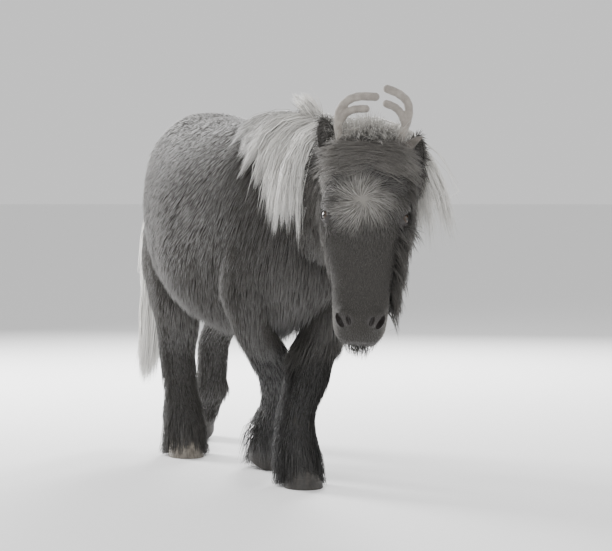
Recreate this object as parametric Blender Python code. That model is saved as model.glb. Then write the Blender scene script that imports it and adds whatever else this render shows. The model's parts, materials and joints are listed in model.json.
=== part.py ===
"""Life-size Shetland pony in winter coat, walking towards the viewer with its head turned, wearing a costume
antler headband.

Metres, +Z up. The pony faces -Y, its left side is +X, and its hooves stand on z = 0. The whole body is lofted
and fused, then parted with thin cuts into head, neck, torso and legs, and locks of mane, tail and winter coat
are fused to the piece that they grow from.
"""

import math
import random

import bmesh
import bpy
import numpy as np
from mathutils import Matrix, Vector
from mathutils.bvhtree import BVHTree

GAP = 0.0003  # between two nodes that meet
LEFT, RIGHT = 1, -1
DOWN = Vector((0.0, 0.0, -1.0))
SIDE_NAMES = {1: "_left", -1: "_right"}

# Torso stations along the body, with half of the coat's depth: y, top z, bottom z, half width.
TORSO = (
    (-0.275, 0.800, 0.590, 0.075),
    (-0.225, 0.880, 0.510, 0.130),
    (-0.110, 0.955, 0.440, 0.178),
    (0.060, 0.980, 0.405, 0.212),
    (0.270, 0.978, 0.390, 0.250),
    (0.470, 0.994, 0.430, 0.242),
    (0.640, 1.010, 0.515, 0.208),
    (0.760, 0.955, 0.600, 0.158),
    (0.820, 0.850, 0.700, 0.075),
)
WIDEST_SHARE = 0.46  # of the torso's height, where it is widest

# Neck stations: centre, half width, half height. It curves to the left towards the poll.
NECK = (
    ((0.000, 0.060, 0.740), 0.135, 0.210),
    ((0.004, -0.100, 0.760), 0.132, 0.202),
    ((0.020, -0.230, 0.770), 0.118, 0.180),
    ((0.048, -0.340, 0.782), 0.106, 0.150),
    ((0.072, -0.430, 0.785), 0.092, 0.122),
)

# Head frame: its origin is on the face plane level with the poll, v runs back and s runs down the face.
HEAD_ORIGIN = Vector((0.047, -0.524, 0.904))
HEAD_YAW = math.radians(-20)
HEAD_PITCH = math.radians(-6)
HEAD_ROLL = math.radians(3)
# Head stations: s, front v, back v, half width.
HEAD = (
    (-0.004, 0.050, 0.115, 0.042),
    (0.020, 0.012, 0.165, 0.082),
    (0.070, -0.018, 0.195, 0.104),
    (0.130, -0.030, 0.208, 0.111),
    (0.195, -0.022, 0.205, 0.102),
    (0.265, -0.010, 0.185, 0.081),
    (0.335, 0.000, 0.150, 0.065),
    (0.395, 0.000, 0.126, 0.057),
    (0.440, -0.006, 0.118, 0.058),
    (0.475, 0.002, 0.104, 0.050),
    (0.494, 0.026, 0.080, 0.030),
)

# Leg stations from the top down: x outwards, y, z, half width, half length.
FORELEG_FORWARD = (
    (0.115, -0.070, 0.640, 0.070, 0.110),
    (0.110, -0.075, 0.520, 0.076, 0.105),
    (0.088, -0.090, 0.420, 0.068, 0.082),
    (0.050, -0.110, 0.335, 0.061, 0.068),
    (0.030, -0.124, 0.275, 0.058, 0.062),
    (0.002, -0.128, 0.190, 0.050, 0.058),
    (-0.001, -0.130, 0.115, 0.054, 0.066),
    (0.004, -0.148, 0.035, 0.046, 0.050),
)
FORELEG_TRAILING = (
    (0.115, -0.070, 0.640, 0.070, 0.110),
    (0.110, -0.060, 0.520, 0.076, 0.105),
    (0.086, -0.030, 0.420, 0.062, 0.080),
    (0.036, 0.012, 0.335, 0.051, 0.062),
    (-0.002, 0.050, 0.275, 0.047, 0.056),
    (-0.024, 0.105, 0.205, 0.042, 0.048),
    (-0.024, 0.154, 0.145, 0.045, 0.052),
    (-0.030, 0.184, 0.080, 0.041, 0.042),
    (-0.030, 0.206, 0.050, 0.036, 0.034),
)
HINDLEG_FORWARD = (
    (0.125, 0.600, 0.700, 0.080, 0.155),
    (0.130, 0.590, 0.580, 0.086, 0.160),
    (0.128, 0.570, 0.470, 0.078, 0.128),
    (0.118, 0.585, 0.380, 0.062, 0.090),
    (0.110, 0.612, 0.300, 0.053, 0.068),
    (0.104, 0.590, 0.200, 0.050, 0.052),
    (0.101, 0.568, 0.120, 0.058, 0.062),
    (0.102, 0.548, 0.035, 0.047, 0.050),
)
HINDLEG_TRAILING = (
    (0.125, 0.620, 0.700, 0.080, 0.155),
    (0.130, 0.630, 0.580, 0.086, 0.160),
    (0.120, 0.690, 0.470, 0.076, 0.122),
    (0.094, 0.780, 0.385, 0.058, 0.088),
    (0.079, 0.845, 0.315, 0.049, 0.064),
    (0.075, 0.862, 0.215, 0.046, 0.050),
    (0.077, 0.872, 0.160, 0.051, 0.056),
    (0.066, 0.906, 0.105, 0.044, 0.048),
    (0.056, 0.930, 0.080, 0.041, 0.042),
    (0.056, 0.950, 0.052, 0.036, 0.034),
)
# Hooves: the middle of the top face, and how far the heel is raised.
HOOF_HEIGHT = 0.058
HOOF_SOLE = (0.052, 0.061)
HOOF_TOP = (0.043, 0.048)
HOOF_SLOPE = 0.016
HOOF_SIDES = 16
HOOVES = {
    "fore_left": ((0.004, -0.152, HOOF_HEIGHT), 0.0),
    "fore_right": ((0.030, 0.186, 0.088), math.radians(36)),
    "hind_right": ((-0.108, 0.545, HOOF_HEIGHT), 0.0),
    "hind_left": ((0.056, 0.932, 0.089), math.radians(40)),
}

# Bulges fused into the head on both sides: middle (u, v, s) and radii.
HEAD_BULGES = (
    ((0.062, 0.130, 0.165), (0.044, 0.066, 0.078)),
    ((0.072, 0.020, 0.166), (0.036, 0.042, 0.034)),
    ((0.030, 0.010, 0.438), (0.026, 0.026, 0.034)),
    ((0.000, 0.082, 0.468), (0.034, 0.028, 0.026)),
)
EYE_PLACE = (0.0865, 0.030, 0.197)
EYE_GAZE = math.radians(30)
EYE_RADIUS = 0.0185
LID_RADIUS = 0.0225
EYE_OPENING = (0.0185, 0.0125)
NOSTRIL_PLACE = (0.034, -0.006, 0.446)
NOSTRIL_SIZE = (0.0085, 0.016, 0.017)
MOUTH_MIDDLE = (0.0, 0.070, 0.455)
MOUTH_FRONT = (0.0, 0.034, 0.492)
MOUTH_SWEEP = math.radians(100)
MOUTH_GROOVE = 0.0028

# Ears: middle of the base (u, v, s), tilt outwards and forwards, and stations of distance, width and depth.
EAR_BASES = {LEFT: (0.090, 0.102, 0.048), RIGHT: (0.077, 0.098, 0.042)}
EAR_TILTS = {LEFT: (math.radians(36), math.radians(-18)), RIGHT: (math.radians(28), math.radians(6))}
EAR_TURN_OUT = math.radians(28)
EAR_CUT = 0.018
EAR = (
    (-0.020, 0.026, 0.022),
    (0.012, 0.030, 0.022),
    (0.045, 0.031, 0.019),
    (0.075, 0.024, 0.014),
    (0.098, 0.012, 0.008),
    (0.108, 0.003, 0.003),
)
EAR_WALL = 0.0045
EAR_SIDES = 10

# Costume headband and antlers, in head coordinates. Above the poll, s is negative.
BAND_V = 0.050
BAND_CENTRE_S = 0.075
BAND_REACH = math.radians(62)
BAND_WIDTH = 0.020
BAND_THICKNESS = 0.006
ANTLER_THICKNESS = 0.0215
ANTLERS = {
    "right": {
        "beam": ((-0.070, 0.050, 0.012), (-0.078, 0.050, -0.030), (-0.076, 0.047, -0.062),
                 (-0.058, 0.042, -0.088), (-0.030, 0.038, -0.100), (0.010, 0.036, -0.101)),
        "tine": ((-0.077, 0.049, -0.030), (-0.062, 0.045, -0.056), (-0.040, 0.042, -0.068),
                 (-0.012, 0.040, -0.071)),
    },
    "left": {
        "beam": ((0.070, 0.050, 0.012), (0.086, 0.050, -0.030), (0.094, 0.047, -0.066),
                 (0.088, 0.042, -0.094), (0.066, 0.038, -0.112), (0.038, 0.036, -0.122)),
        "tine": ((0.088, 0.049, -0.034), (0.076, 0.045, -0.062), (0.060, 0.042, -0.078),
                 (0.038, 0.040, -0.086)),
    },
}
FELT_EARS = {
    "left": ((0.086, 0.040, 0.030), (0.100, 0.037, 0.013), (0.118, 0.034, -0.002), (0.132, 0.032, -0.008)),
    "right": ((-0.060, 0.040, 0.012), (-0.050, 0.036, -0.006), (-0.036, 0.034, -0.018),
              (-0.024, 0.033, -0.022)),
}
FELT_EAR_WIDTH = 0.024
FELT_EAR_THICKNESS = 0.005

# Thin cuts that part the fused body: middle, angles about X, Y and Z, and half sizes of each plate.
PLATES = {
    "head": ((0.075, -0.330, 0.800), (math.radians(100), 0.0, math.radians(-14)), (0.24, 0.24)),
    "neck": ((0.000, -0.125, 0.800), (math.radians(54), 0.0, 0.0), (0.30, 0.31)),
    "fore": ((0.000, -0.090, 0.376), (0.0, 0.0, 0.0), (0.30, 0.20)),
    "hind": ((0.000, 0.690, 0.412), (0.0, 0.0, 0.0), (0.30, 0.265)),
}

# Tail: middle line of the dock and the hair round it.
DOCK = (
    ((0.000, 0.790, 0.900), 0.036),
    ((-0.008, 0.840, 0.880), 0.040),
    ((-0.030, 0.885, 0.820), 0.042),
    ((-0.058, 0.908, 0.730), 0.040),
    ((-0.085, 0.922, 0.620), 0.034),
    ((-0.100, 0.932, 0.540), 0.020),
)
TAIL_END = Vector((-0.122, 0.962, 0.180))

# Locks of coat. A kind gives length, width, thickness, rise at the tip and pull downwards.
LOCK_KINDS = {
    "back": (0.240, 0.104, 0.012, 0.006, 0.10),
    "flank": (0.240, 0.104, 0.012, 0.008, 0.25),
    "belly": (0.120, 0.074, 0.011, 0.020, 0.80),
    "breast": (0.140, 0.086, 0.011, 0.012, 0.35),
    "rump": (0.150, 0.092, 0.011, 0.008, 0.40),
    "neck": (0.130, 0.056, 0.010, 0.012, 0.40),
    "cheek": (0.100, 0.036, 0.010, 0.014, 0.60),
    "chin": (0.060, 0.022, 0.008, 0.014, 0.60),
    "leg": (0.090, 0.040, 0.010, 0.010, 0.30),
}
# A zone gives its node, the low and high corners that hold the roots, the way that the skin faces there and
# how closely, the number of locks and their kind.
LOCK_ZONES = (
    ("torso", (-0.30, -0.20, 0.82), (0.30, 0.90, 1.10), (0.0, 0.0, 1.0), 0.45, 14, "back"),
    ("torso", (-0.30, -0.20, 0.50), (-0.02, 0.86, 0.93), (-1.0, 0.0, 0.0), 0.50, 19, "flank"),
    ("torso", (0.02, -0.20, 0.50), (0.30, 0.86, 0.93), (1.0, 0.0, 0.0), 0.50, 19, "flank"),
    ("torso", (-0.30, -0.06, 0.38), (-0.06, 0.66, 0.56), (-0.6, 0.0, -1.0), 0.30, 11, "belly"),
    ("torso", (0.06, -0.06, 0.38), (0.30, 0.66, 0.56), (0.6, 0.0, -1.0), 0.30, 11, "belly"),
    ("torso", (-0.25, -0.40, 0.50), (0.25, -0.10, 0.90), (0.0, -1.0, 0.0), 0.30, 9, "breast"),
    ("torso", (-0.25, 0.60, 0.50), (0.25, 0.95, 0.86), (0.0, 1.0, 0.0), 0.35, 8, "rump"),
    ("neck", (-0.25, -0.50, 0.56), (-0.02, -0.10, 0.80), (-1.0, -0.4, 0.0), 0.40, 5, "neck"),
    ("neck", (0.02, -0.50, 0.56), (0.25, -0.10, 0.80), (1.0, -0.2, 0.0), 0.40, 4, "neck"),
    ("head", (-0.20, -0.58, 0.56), (0.05, -0.30, 0.80), (-1.0, 0.8, 0.0), 0.20, 8, "cheek"),
    ("head", (0.00, -0.58, 0.56), (0.25, -0.30, 0.80), (1.0, 0.6, 0.0), 0.20, 9, "cheek"),
    ("head", (-0.20, -0.66, 0.40), (0.25, -0.44, 0.60), (0.0, 0.9, -0.5), 0.10, 7, "chin"),
    ("leg_fore_left", (-0.30, -0.30, 0.09), (0.30, 1.00, 0.34), (0.0, 1.0, 0.0), -0.30, 6, "leg"),
    ("leg_fore_right", (-0.30, -0.30, 0.12), (0.30, 1.00, 0.34), (0.0, 1.0, 0.0), -0.30, 6, "leg"),
    ("leg_hind_left", (-0.30, -0.30, 0.12), (0.30, 1.00, 0.36), (0.0, 1.0, 0.0), -0.30, 6, "leg"),
    ("leg_hind_right", (-0.30, -0.30, 0.09), (0.30, 1.00, 0.36), (0.0, 1.0, 0.0), -0.30, 6, "leg"),
)
LOCK_RINGS = ((0.0, 0.40), (0.34, 1.0), (0.70, 0.70))
LONG_RINGS = ((0.0, 0.50), (0.20, 0.95), (0.50, 0.90), (0.78, 0.50))
LOCK_SINK = 0.012
LOCK_LIE = 0.004
HANGING = 0.5
LOCK_CLEAR = 0.0006
SEED = 8

# Mane guide lines from root to tip, at the poll, the middle of the crest and the withers.
MANE_RIGHT = (
    (
        (0.045, -0.322, 0.920), (-0.030, -0.318, 0.905), (-0.088, -0.318, 0.820), (-0.108, -0.325, 0.720),
        (-0.114, -0.332, 0.600),
    ),
    (
        (0.018, -0.220, 0.948), (-0.045, -0.210, 0.948), (-0.108, -0.185, 0.895), (-0.140, -0.165, 0.830),
        (-0.150, -0.150, 0.770),
    ),
    (
        (0.008, -0.100, 0.962), (-0.032, -0.065, 0.972), (-0.070, -0.020, 0.958), (-0.100, 0.015, 0.930),
        (-0.118, 0.040, 0.895),
    ),
)
MANE_LEFT = (
    (
        (0.064, -0.318, 0.915), (0.140, -0.390, 0.938), (0.218, -0.455, 0.868), (0.264, -0.512, 0.750),
        (0.290, -0.548, 0.640),
    ),
    (
        (0.034, -0.190, 0.945), (0.100, -0.200, 0.935), (0.150, -0.210, 0.860), (0.172, -0.215, 0.760),
        (0.178, -0.220, 0.660),
    ),
    (
        (0.008, -0.060, 0.965), (0.050, -0.040, 0.968), (0.098, -0.020, 0.935), (0.135, 0.000, 0.885),
        (0.155, 0.010, 0.830),
    ),
)
MANE_TUFT = (
    (
        (0.030, -0.250, 0.930), (0.022, -0.250, 0.965), (0.005, -0.245, 0.990), (-0.012, -0.240, 1.010),
        (-0.030, -0.235, 1.022),
    ),
    (
        (0.022, -0.215, 0.935), (0.014, -0.213, 0.970), (-0.002, -0.208, 0.995), (-0.018, -0.200, 1.015),
        (-0.040, -0.195, 1.020),
    ),
    (
        (0.016, -0.180, 0.940), (0.006, -0.176, 0.975), (-0.012, -0.170, 0.995), (-0.030, -0.160, 1.008),
        (-0.050, -0.150, 1.010),
    ),
)
# For each fall: its number of locks, how far along the guides they root, how far it stands off, the guides.
MANE_FALLS = (
    (11, 0.00, 0.018, MANE_RIGHT), (7, 0.24, 0.002, MANE_RIGHT), (10, 0.00, 0.016, MANE_LEFT),
    (4, 0.26, 0.002, MANE_LEFT), (3, 0.00, 0.004, MANE_TUFT),
)
MANE_LOCK = (0.046, 0.011)
MANE_LIE = 0.006
FORELOCK = (-0.035, -0.020, -0.006, 0.008, 0.022, 0.036)
TAIL_LOCKS = 17
TAIL_LOCK = (0.048, 0.014)

LOFT_SIDES = 28
LOFT_STEPS = 4
VOXEL = 0.0075
SMOOTH_STEPS = 10
TRIANGLES = {"torso": 880, "neck": 350, "head": 1220, "leg": 200}


def remove_start_scene():
    """Empties the scene, whatever file this runs in."""
    for obj in list(bpy.data.objects):
        bpy.data.objects.remove(obj)


def make_material(name, colour, roughness, metallic=0.0):
    """A Principled material of one colour."""
    material = bpy.data.materials.new(name)
    material.use_nodes = True
    shader = material.node_tree.nodes["Principled BSDF"]
    shader.inputs["Base Color"].default_value = (*colour, 1.0)
    shader.inputs["Roughness"].default_value = roughness
    shader.inputs["Metallic"].default_value = metallic
    return material


def make_object(name, bm, material=None):
    """A scene object that takes over the bmesh."""
    mesh = bpy.data.meshes.new(name)
    bm.to_mesh(mesh)
    bm.free()
    obj = bpy.data.objects.new(name, mesh)
    bpy.context.scene.collection.objects.link(obj)
    if material:
        mesh.materials.append(material)
    return obj


def flat_numbers(row):
    """The numbers of a station, with any point in it spread out."""
    found = []
    for value in row:
        found += list(value) if isinstance(value, tuple) else [value]
    return found


def smooth_rows(rows, steps):
    """Catmull-Rom interpolation of the rows of a station table, with this many steps between two of them."""
    rows = [flat_numbers(row) for row in rows]
    made = []
    for i in range(len(rows) - 1):
        before = rows[max(i - 1, 0)]
        after = rows[min(i + 2, len(rows) - 1)]
        for k in range(steps):
            t = k / steps
            made.append([
                0.5 * (2 * b + (c - a) * t + (2 * a - 5 * b + 4 * c - d) * t**2
                       + (3 * b - a - 3 * c + d) * t**3)
                for a, b, c, d in zip(before, rows[i], rows[i + 1], after)
            ])
    return made + [rows[-1]]


def oval(sides, squareness=1.0):
    """The (cosine, sine) pairs of an oval. A squareness under 1 fills out its corners."""
    pairs = []
    for k in range(sides):
        angle = math.tau * k / sides
        c, s = math.cos(angle), math.sin(angle)
        pairs.append((math.copysign(abs(c) ** squareness, c), math.copysign(abs(s) ** squareness, s)))
    return pairs


def loft(name, rings):
    """A closed object through rings of points, with a flat cap at both ends."""
    bm = bmesh.new()
    loops = []
    for ring in rings:
        verts = [bm.verts.new(p) for p in ring]
        loops.append([bm.edges.new((a, b)) for a, b in zip(verts, verts[1:] + verts[:1])])
    for first, second in zip(loops, loops[1:]):
        bmesh.ops.bridge_loops(bm, edges=first + second)
    for loop in (loops[0], loops[-1]):
        bmesh.ops.contextual_create(bm, geom=loop)
    bmesh.ops.recalc_face_normals(bm, faces=bm.faces)
    return make_object(name, bm)


def torso_form():
    """The barrel, from breast to buttocks, as upright oval sections."""
    rings = []
    for y, top, bottom, half in smooth_rows(TORSO, LOFT_STEPS):
        middle = bottom + WIDEST_SHARE * (top - bottom)
        rings.append([
            (c * half, y, middle + s * (top - middle if s > 0 else middle - bottom))
            for c, s in oval(LOFT_SIDES, 0.9)
        ])
    return loft("torso_form", rings)


def neck_form():
    """The neck, as sections square to its line."""
    rows = smooth_rows(NECK, LOFT_STEPS)
    rings = []
    for i, (x, y, z, half_w, half_h) in enumerate(rows):
        ahead = rows[min(i + 1, len(rows) - 1)]
        behind = rows[max(i - 1, 0)]
        along = Vector(ahead[:3]) - Vector(behind[:3])
        side = Vector((0, 0, 1)).cross(along).normalized()
        up = along.cross(side).normalized()
        centre = Vector((x, y, z))
        rings.append([centre + side * (c * half_w) + up * (s * half_h) for c, s in oval(LOFT_SIDES, 0.95)])
    return loft("neck_form", rings)


def head_matrix():
    """Head coordinates (u left, v back, -s up) to the pony's own."""
    turn = (
        Matrix.Rotation(HEAD_YAW, 4, "Z")
        @ Matrix.Rotation(HEAD_PITCH, 4, "X")
        @ Matrix.Rotation(HEAD_ROLL, 4, "Y")
    )
    return Matrix.Translation(HEAD_ORIGIN) @ turn


def head_form():
    """Skull, face and muzzle, as sections across the face."""
    place = head_matrix()
    rings = []
    for s, front, back, half in smooth_rows(HEAD, LOFT_STEPS):
        middle = front + 0.42 * (back - front)
        rings.append([
            place @ Vector((c * half, middle + k * (back - middle if k > 0 else middle - front), -s))
            for c, k in oval(LOFT_SIDES, 0.82)
        ])
    return loft("head_form", rings)


def leg_form(name, stations, side):
    """A leg from shoulder or haunch down to inside the hoof, as level sections."""
    rings = []
    for x, y, z, half_w, half_l in smooth_rows(stations, LOFT_STEPS):
        rings.append([(side * x + c * half_w, y + s * half_l, z) for c, s in oval(LOFT_SIDES // 2 * 2, 0.9)])
    return loft(name, rings)


def ellipsoid(name, middle, radii, turn=None, level=3):
    """A closed ellipsoid, turned before it is moved to its middle."""
    bm = bmesh.new()
    bmesh.ops.create_icosphere(bm, subdivisions=level, radius=1.0)
    place = Matrix.Translation(middle) @ (turn or Matrix()) @ Matrix.Diagonal((*radii, 1.0))
    bmesh.ops.transform(bm, matrix=place, verts=bm.verts)
    return make_object(name, bm)


def head_bulges():
    """Cheeks, brows, nostril wings and chin, on both sides of the head."""
    place = head_matrix()
    turn = place.to_3x3().to_4x4()
    made = []
    for (u, v, s), radii in HEAD_BULGES:
        for side in (LEFT, RIGHT):
            middle = place @ Vector((side * u, v, -s))
            made.append(ellipsoid("head_bulge", middle, radii, turn))
    return made


def evaluated_copy(obj):
    """The object's mesh with its modifiers applied."""
    graph = bpy.context.evaluated_depsgraph_get()
    return bpy.data.meshes.new_from_object(obj.evaluated_get(graph))


def apply_modifiers(obj):
    """Puts the evaluated mesh in place of the object's own."""
    mesh = evaluated_copy(obj)
    obj.modifiers.clear()
    obj.data = mesh
    return obj


def joined(objects, name):
    """One object with the meshes of all these, which are removed."""
    bm = bmesh.new()
    for obj in objects:
        bm.from_mesh(obj.data)
        bpy.data.objects.remove(obj)
    return make_object(name, bm)


def fuse(objects, name):
    """One smooth closed skin round all these closed forms."""
    obj = joined(objects, name)
    remesh = obj.modifiers.new("fuse", "REMESH")
    remesh.mode = "VOXEL"
    remesh.voxel_size = VOXEL
    smooth = obj.modifiers.new("smooth", "SMOOTH")
    smooth.factor = 0.5
    smooth.iterations = SMOOTH_STEPS
    return apply_modifiers(obj)


def thin(obj, triangles):
    """Brings the object down to about this many triangles."""
    bm = bmesh.new()
    bm.from_mesh(obj.data)
    bmesh.ops.triangulate(bm, faces=bm.faces)
    bm.to_mesh(obj.data)
    bm.free()
    decimate = obj.modifiers.new("thin", "DECIMATE")
    decimate.ratio = min(1.0, triangles / len(obj.data.polygons))
    return apply_modifiers(obj)


def boolean(obj, operation, others, solver="MANIFOLD"):
    """Joins, cuts or crosses the object with a collection of closed mesh objects, which are removed."""
    group = bpy.data.collections.new("operands")
    bpy.context.scene.collection.children.link(group)
    for other in others:
        group.objects.link(other)
    modifier = obj.modifiers.new("boolean", "BOOLEAN")
    modifier.operation = operation
    modifier.solver = solver
    modifier.operand_type = "COLLECTION"
    modifier.collection = group
    apply_modifiers(obj)
    for other in others:
        bpy.data.objects.remove(other)
    bpy.data.collections.remove(group)
    return obj


def duplicate(obj, name):
    """A second object with a copy of the mesh."""
    copy = bpy.data.objects.new(name, obj.data.copy())
    bpy.context.scene.collection.objects.link(copy)
    return copy


def grown(obj, name, amount):
    """A copy of a closed smooth form, moved out along its normals."""
    copy = duplicate(obj, name)
    for vertex in copy.data.vertices:
        vertex.co += vertex.normal * amount
    return copy


def loose_pieces(obj):
    """The vertex sets of the object's separate closed surfaces, the largest box first."""
    bm = bmesh.new()
    bm.from_mesh(obj.data)
    left = set(bm.verts)
    pieces = []
    while left:
        start = left.pop()
        piece, edge = {start}, [start]
        while edge:
            for link in edge.pop().link_edges:
                for vertex in link.verts:
                    if vertex in left:
                        left.remove(vertex)
                        piece.add(vertex)
                        edge.append(vertex)
        pieces.append(sorted(v.index for v in piece))
    bm.free()
    return sorted(pieces, key=len, reverse=True)


def keep_vertices(obj, name, keep):
    """A new object with only these vertices and the faces between them."""
    keep = set(keep)
    bm = bmesh.new()
    bm.from_mesh(obj.data)
    doomed = [v for v in bm.verts if v.index not in keep]
    bmesh.ops.delete(bm, geom=doomed, context="VERTS")
    return make_object(name, bm)


def keep_largest(obj):
    """Drops all but the object's largest closed surface."""
    pieces = loose_pieces(obj)
    if len(pieces) > 1:
        kept = keep_vertices(obj, obj.name + "_kept", pieces[0])
        obj.data = kept.data
        bpy.data.objects.remove(kept)
    return obj


def plate(name, middle, angles, half_sizes):
    """A flat plate as thick as the gap between two nodes."""
    bm = bmesh.new()
    bmesh.ops.create_cube(bm, size=2.0)
    turns = [Matrix.Rotation(angle, 4, axis) for angle, axis in zip(angles, "XYZ")]
    turn = turns[2] @ turns[1] @ turns[0]
    place = Matrix.Translation(middle) @ turn @ Matrix.Diagonal((*half_sizes, GAP / 2, 1.0))
    bmesh.ops.transform(bm, matrix=place, verts=bm.verts)
    return make_object(name, bm)


def fused_body():
    """Torso, neck, head and legs as one smooth closed surface."""
    forms = [torso_form(), neck_form(), head_form(), *head_bulges()]
    forms.append(leg_form("leg_fore_left", FORELEG_FORWARD, LEFT))
    forms.append(leg_form("leg_fore_right", FORELEG_TRAILING, RIGHT))
    forms.append(leg_form("leg_hind_right", HINDLEG_FORWARD, RIGHT))
    forms.append(leg_form("leg_hind_left", HINDLEG_TRAILING, LEFT))
    return fuse(forms, "body")


def part_body(body):
    """The body's nodes and their fine skins by name, parted by thin plates, less what lies in the hooves."""
    plates = [plate(name + "_plate", *facts) for name, facts in PLATES.items()]
    for name, (middle, tilt) in HOOVES.items():
        plates.append(plate(name + "_coronet", middle, (tilt, 0.0, 0.0), (0.075, 0.085)))
    boolean(body, "DIFFERENCE", plates)
    nodes, skins = {}, {}
    for piece in loose_pieces(body)[:7]:
        points = [body.data.vertices[i].co for i in piece]
        middle = sum(points, Vector()) / len(points)
        highest = max(p.z for p in points)
        if highest < 0.5:
            row = "fore" if middle.y < 0.3 else "hind"
            name = "leg_" + row + ("_left" if middle.x > 0 else "_right")
        elif middle.y > 0.1:
            name = "torso"
        else:
            name = "head" if middle.y < -0.38 else "neck"
        nodes[name] = keep_vertices(body, name, piece)
        skins[name] = duplicate(nodes[name], name + "_skin")
        thin(nodes[name], TRIANGLES.get(name, TRIANGLES["leg"]))
    return nodes, skins


def head_point(u, v, s):
    """A point given across the head, back from its front and down from its poll, in the pony's frame."""
    return head_matrix() @ Vector((u, v, -s))


def head_turn():
    """The head's rotation alone."""
    return head_matrix().to_3x3().to_4x4()


def turned_to(direction, up=Vector((0.0, 0.0, 1.0))):
    """A rotation whose Z axis follows the direction and whose Y axis leans to the given one."""
    z = Vector(direction).normalized()
    x = Vector(up).cross(z).normalized()
    return Matrix((x, z.cross(x), z)).transposed().to_4x4()


def sphere(name, middle, radius, turn, segments=14, rings=8):
    """A closed ball with its poles along the turn's Z axis."""
    bm = bmesh.new()
    bmesh.ops.create_uvsphere(bm, u_segments=segments, v_segments=rings, radius=radius)
    bmesh.ops.transform(bm, matrix=Matrix.Translation(middle) @ turn, verts=bm.verts)
    return make_object(name, bm)


def tree_of(obj):
    """A search tree of the object's surface."""
    bm = bmesh.new()
    bm.from_mesh(obj.data)
    tree = BVHTree.FromBMesh(bm)
    bm.free()
    return tree


def eye_frame(side):
    """The eye's middle and its turn: Z looks out and a little forwards."""
    u, v, s = EYE_PLACE
    middle = head_point(side * u, v, s)
    gaze = head_turn() @ Vector((side * math.cos(EYE_GAZE), -math.sin(EYE_GAZE), 0.02))
    return middle, turned_to(gaze, head_turn() @ Vector((side * 0.10, 0.0, 1.0)))


def eye_parts(head, side):
    """Builds the lids on the head, opens them, cuts the socket and returns the eyeball."""
    middle, turn = eye_frame(side)
    lids = sphere("lids", middle, LID_RADIUS, turn)
    boolean(head, "UNION", [lids])
    socket = sphere("socket", middle, EYE_RADIUS + GAP, turn)
    rings = []
    for z, share in ((0.004, 1.0), (0.030, 1.25)):
        ring = []
        for x, y in oval(14, 1.0):
            point = Vector((x * EYE_OPENING[0] * share, y * EYE_OPENING[1] * share, z))
            ring.append(middle + turn @ point)
        rings.append(ring)
    opening = loft("opening", rings)
    boolean(head, "DIFFERENCE", [socket])
    boolean(head, "DIFFERENCE", [opening])
    keep_largest(head)
    return sphere("eye" + SIDE_NAMES[side], middle, EYE_RADIUS, turn)


def cut_nostril(head, side):
    """A comma-shaped hollow that faces forwards and out."""
    u, v, s = NOSTRIL_PLACE
    gaze = head_turn() @ Vector((side * 0.62, -0.78, -0.10))
    turn = turned_to(gaze, head_turn() @ Vector((side * -0.35, 0.0, 1.0)))
    pit = ellipsoid("pit", head_point(side * u, v, s), NOSTRIL_SIZE, turn, 2)
    boolean(head, "DIFFERENCE", [pit])


def cut_mouth(head):
    """A wedge-shaped groove between the lips, round the front of the muzzle."""
    tree = tree_of(head)
    middle = head_point(*MOUTH_MIDDLE)
    front = (head_point(*MOUTH_FRONT) - middle).normalized()
    across = head_turn() @ Vector((1.0, 0.0, 0.0))
    normal = across.cross(front).normalized()
    rings = []
    for i in range(17):
        angle = MOUTH_SWEEP * (i / 8 - 1)
        way = front * math.cos(angle) + across * math.sin(angle)
        hit = tree.ray_cast(middle + way * 0.2, -way)[0]
        depth = MOUTH_GROOVE * (1.0 if 0 < i < 16 else 0.3)
        ring = [hit - way * depth, hit + way * 0.008 + normal * 0.0042, hit + way * 0.008 - normal * 0.0042]
        rings.append(ring)
    boolean(head, "DIFFERENCE", [loft("mouth", rings)])
    keep_largest(head)


def ear_frame(side):
    """The ear's base and its turn: Z runs to the tip and -Y faces the opening."""
    u, v, s = EAR_BASES[side]
    out, forward = EAR_TILTS[side]
    tilt = head_turn() @ Matrix.Rotation(side * out, 4, "Y") @ Matrix.Rotation(forward, 4, "X")
    return head_point(side * u, v, s), tilt @ Matrix.Rotation(side * EAR_TURN_OUT, 4, "Z")


def ear_rings(middle, turn, first, shrink=0.0, forward=0.0):
    """Rings of the ear's outer form, or of the smaller form that hollows it."""
    rings = []
    for z, wide, deep in EAR[first:]:
        size = (max(wide - shrink, 0.0012), max(deep - shrink, 0.0012))
        rings.append([
            middle + turn @ Vector((x * size[0], y * size[1] - forward, z)) for x, y in oval(EAR_SIDES, 1.0)
        ])
    return rings


def ear(head, side):
    """A stub on the head with a flat top, and on it the ear, hollowed to a cup."""
    middle, turn = ear_frame(side)
    stub = loft("stub", ear_rings(middle, turn, 0)[:2])
    boolean(head, "UNION", [stub])
    top = middle + turn @ Vector((0.0, 0.0, EAR_CUT))
    bm = bmesh.new()
    bmesh.ops.create_cube(bm, size=1.0)
    size = Matrix.Diagonal((0.078, 0.062, 0.03, 1.0))
    place = Matrix.Translation(top + turn @ Vector((0.0, 0.0, 0.015))) @ turn @ size
    bmesh.ops.transform(bm, matrix=place, verts=bm.verts)
    boolean(head, "DIFFERENCE", [make_object("slice", bm)])
    keep_largest(head)
    rings = ear_rings(middle, turn, 1)
    rings[0] = [
        middle + turn @ Vector((x * 0.0285, y * 0.022, EAR_CUT + GAP)) for x, y in oval(EAR_SIDES, 1.0)
    ]
    obj = loft("ear" + SIDE_NAMES[side], smooth_rows_of_rings(rings))
    hollow = loft("hollow", ear_rings(middle, turn, 2, EAR_WALL, 0.0065)[:-1])
    boolean(obj, "DIFFERENCE", [hollow])
    keep_largest(obj)
    return obj


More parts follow.
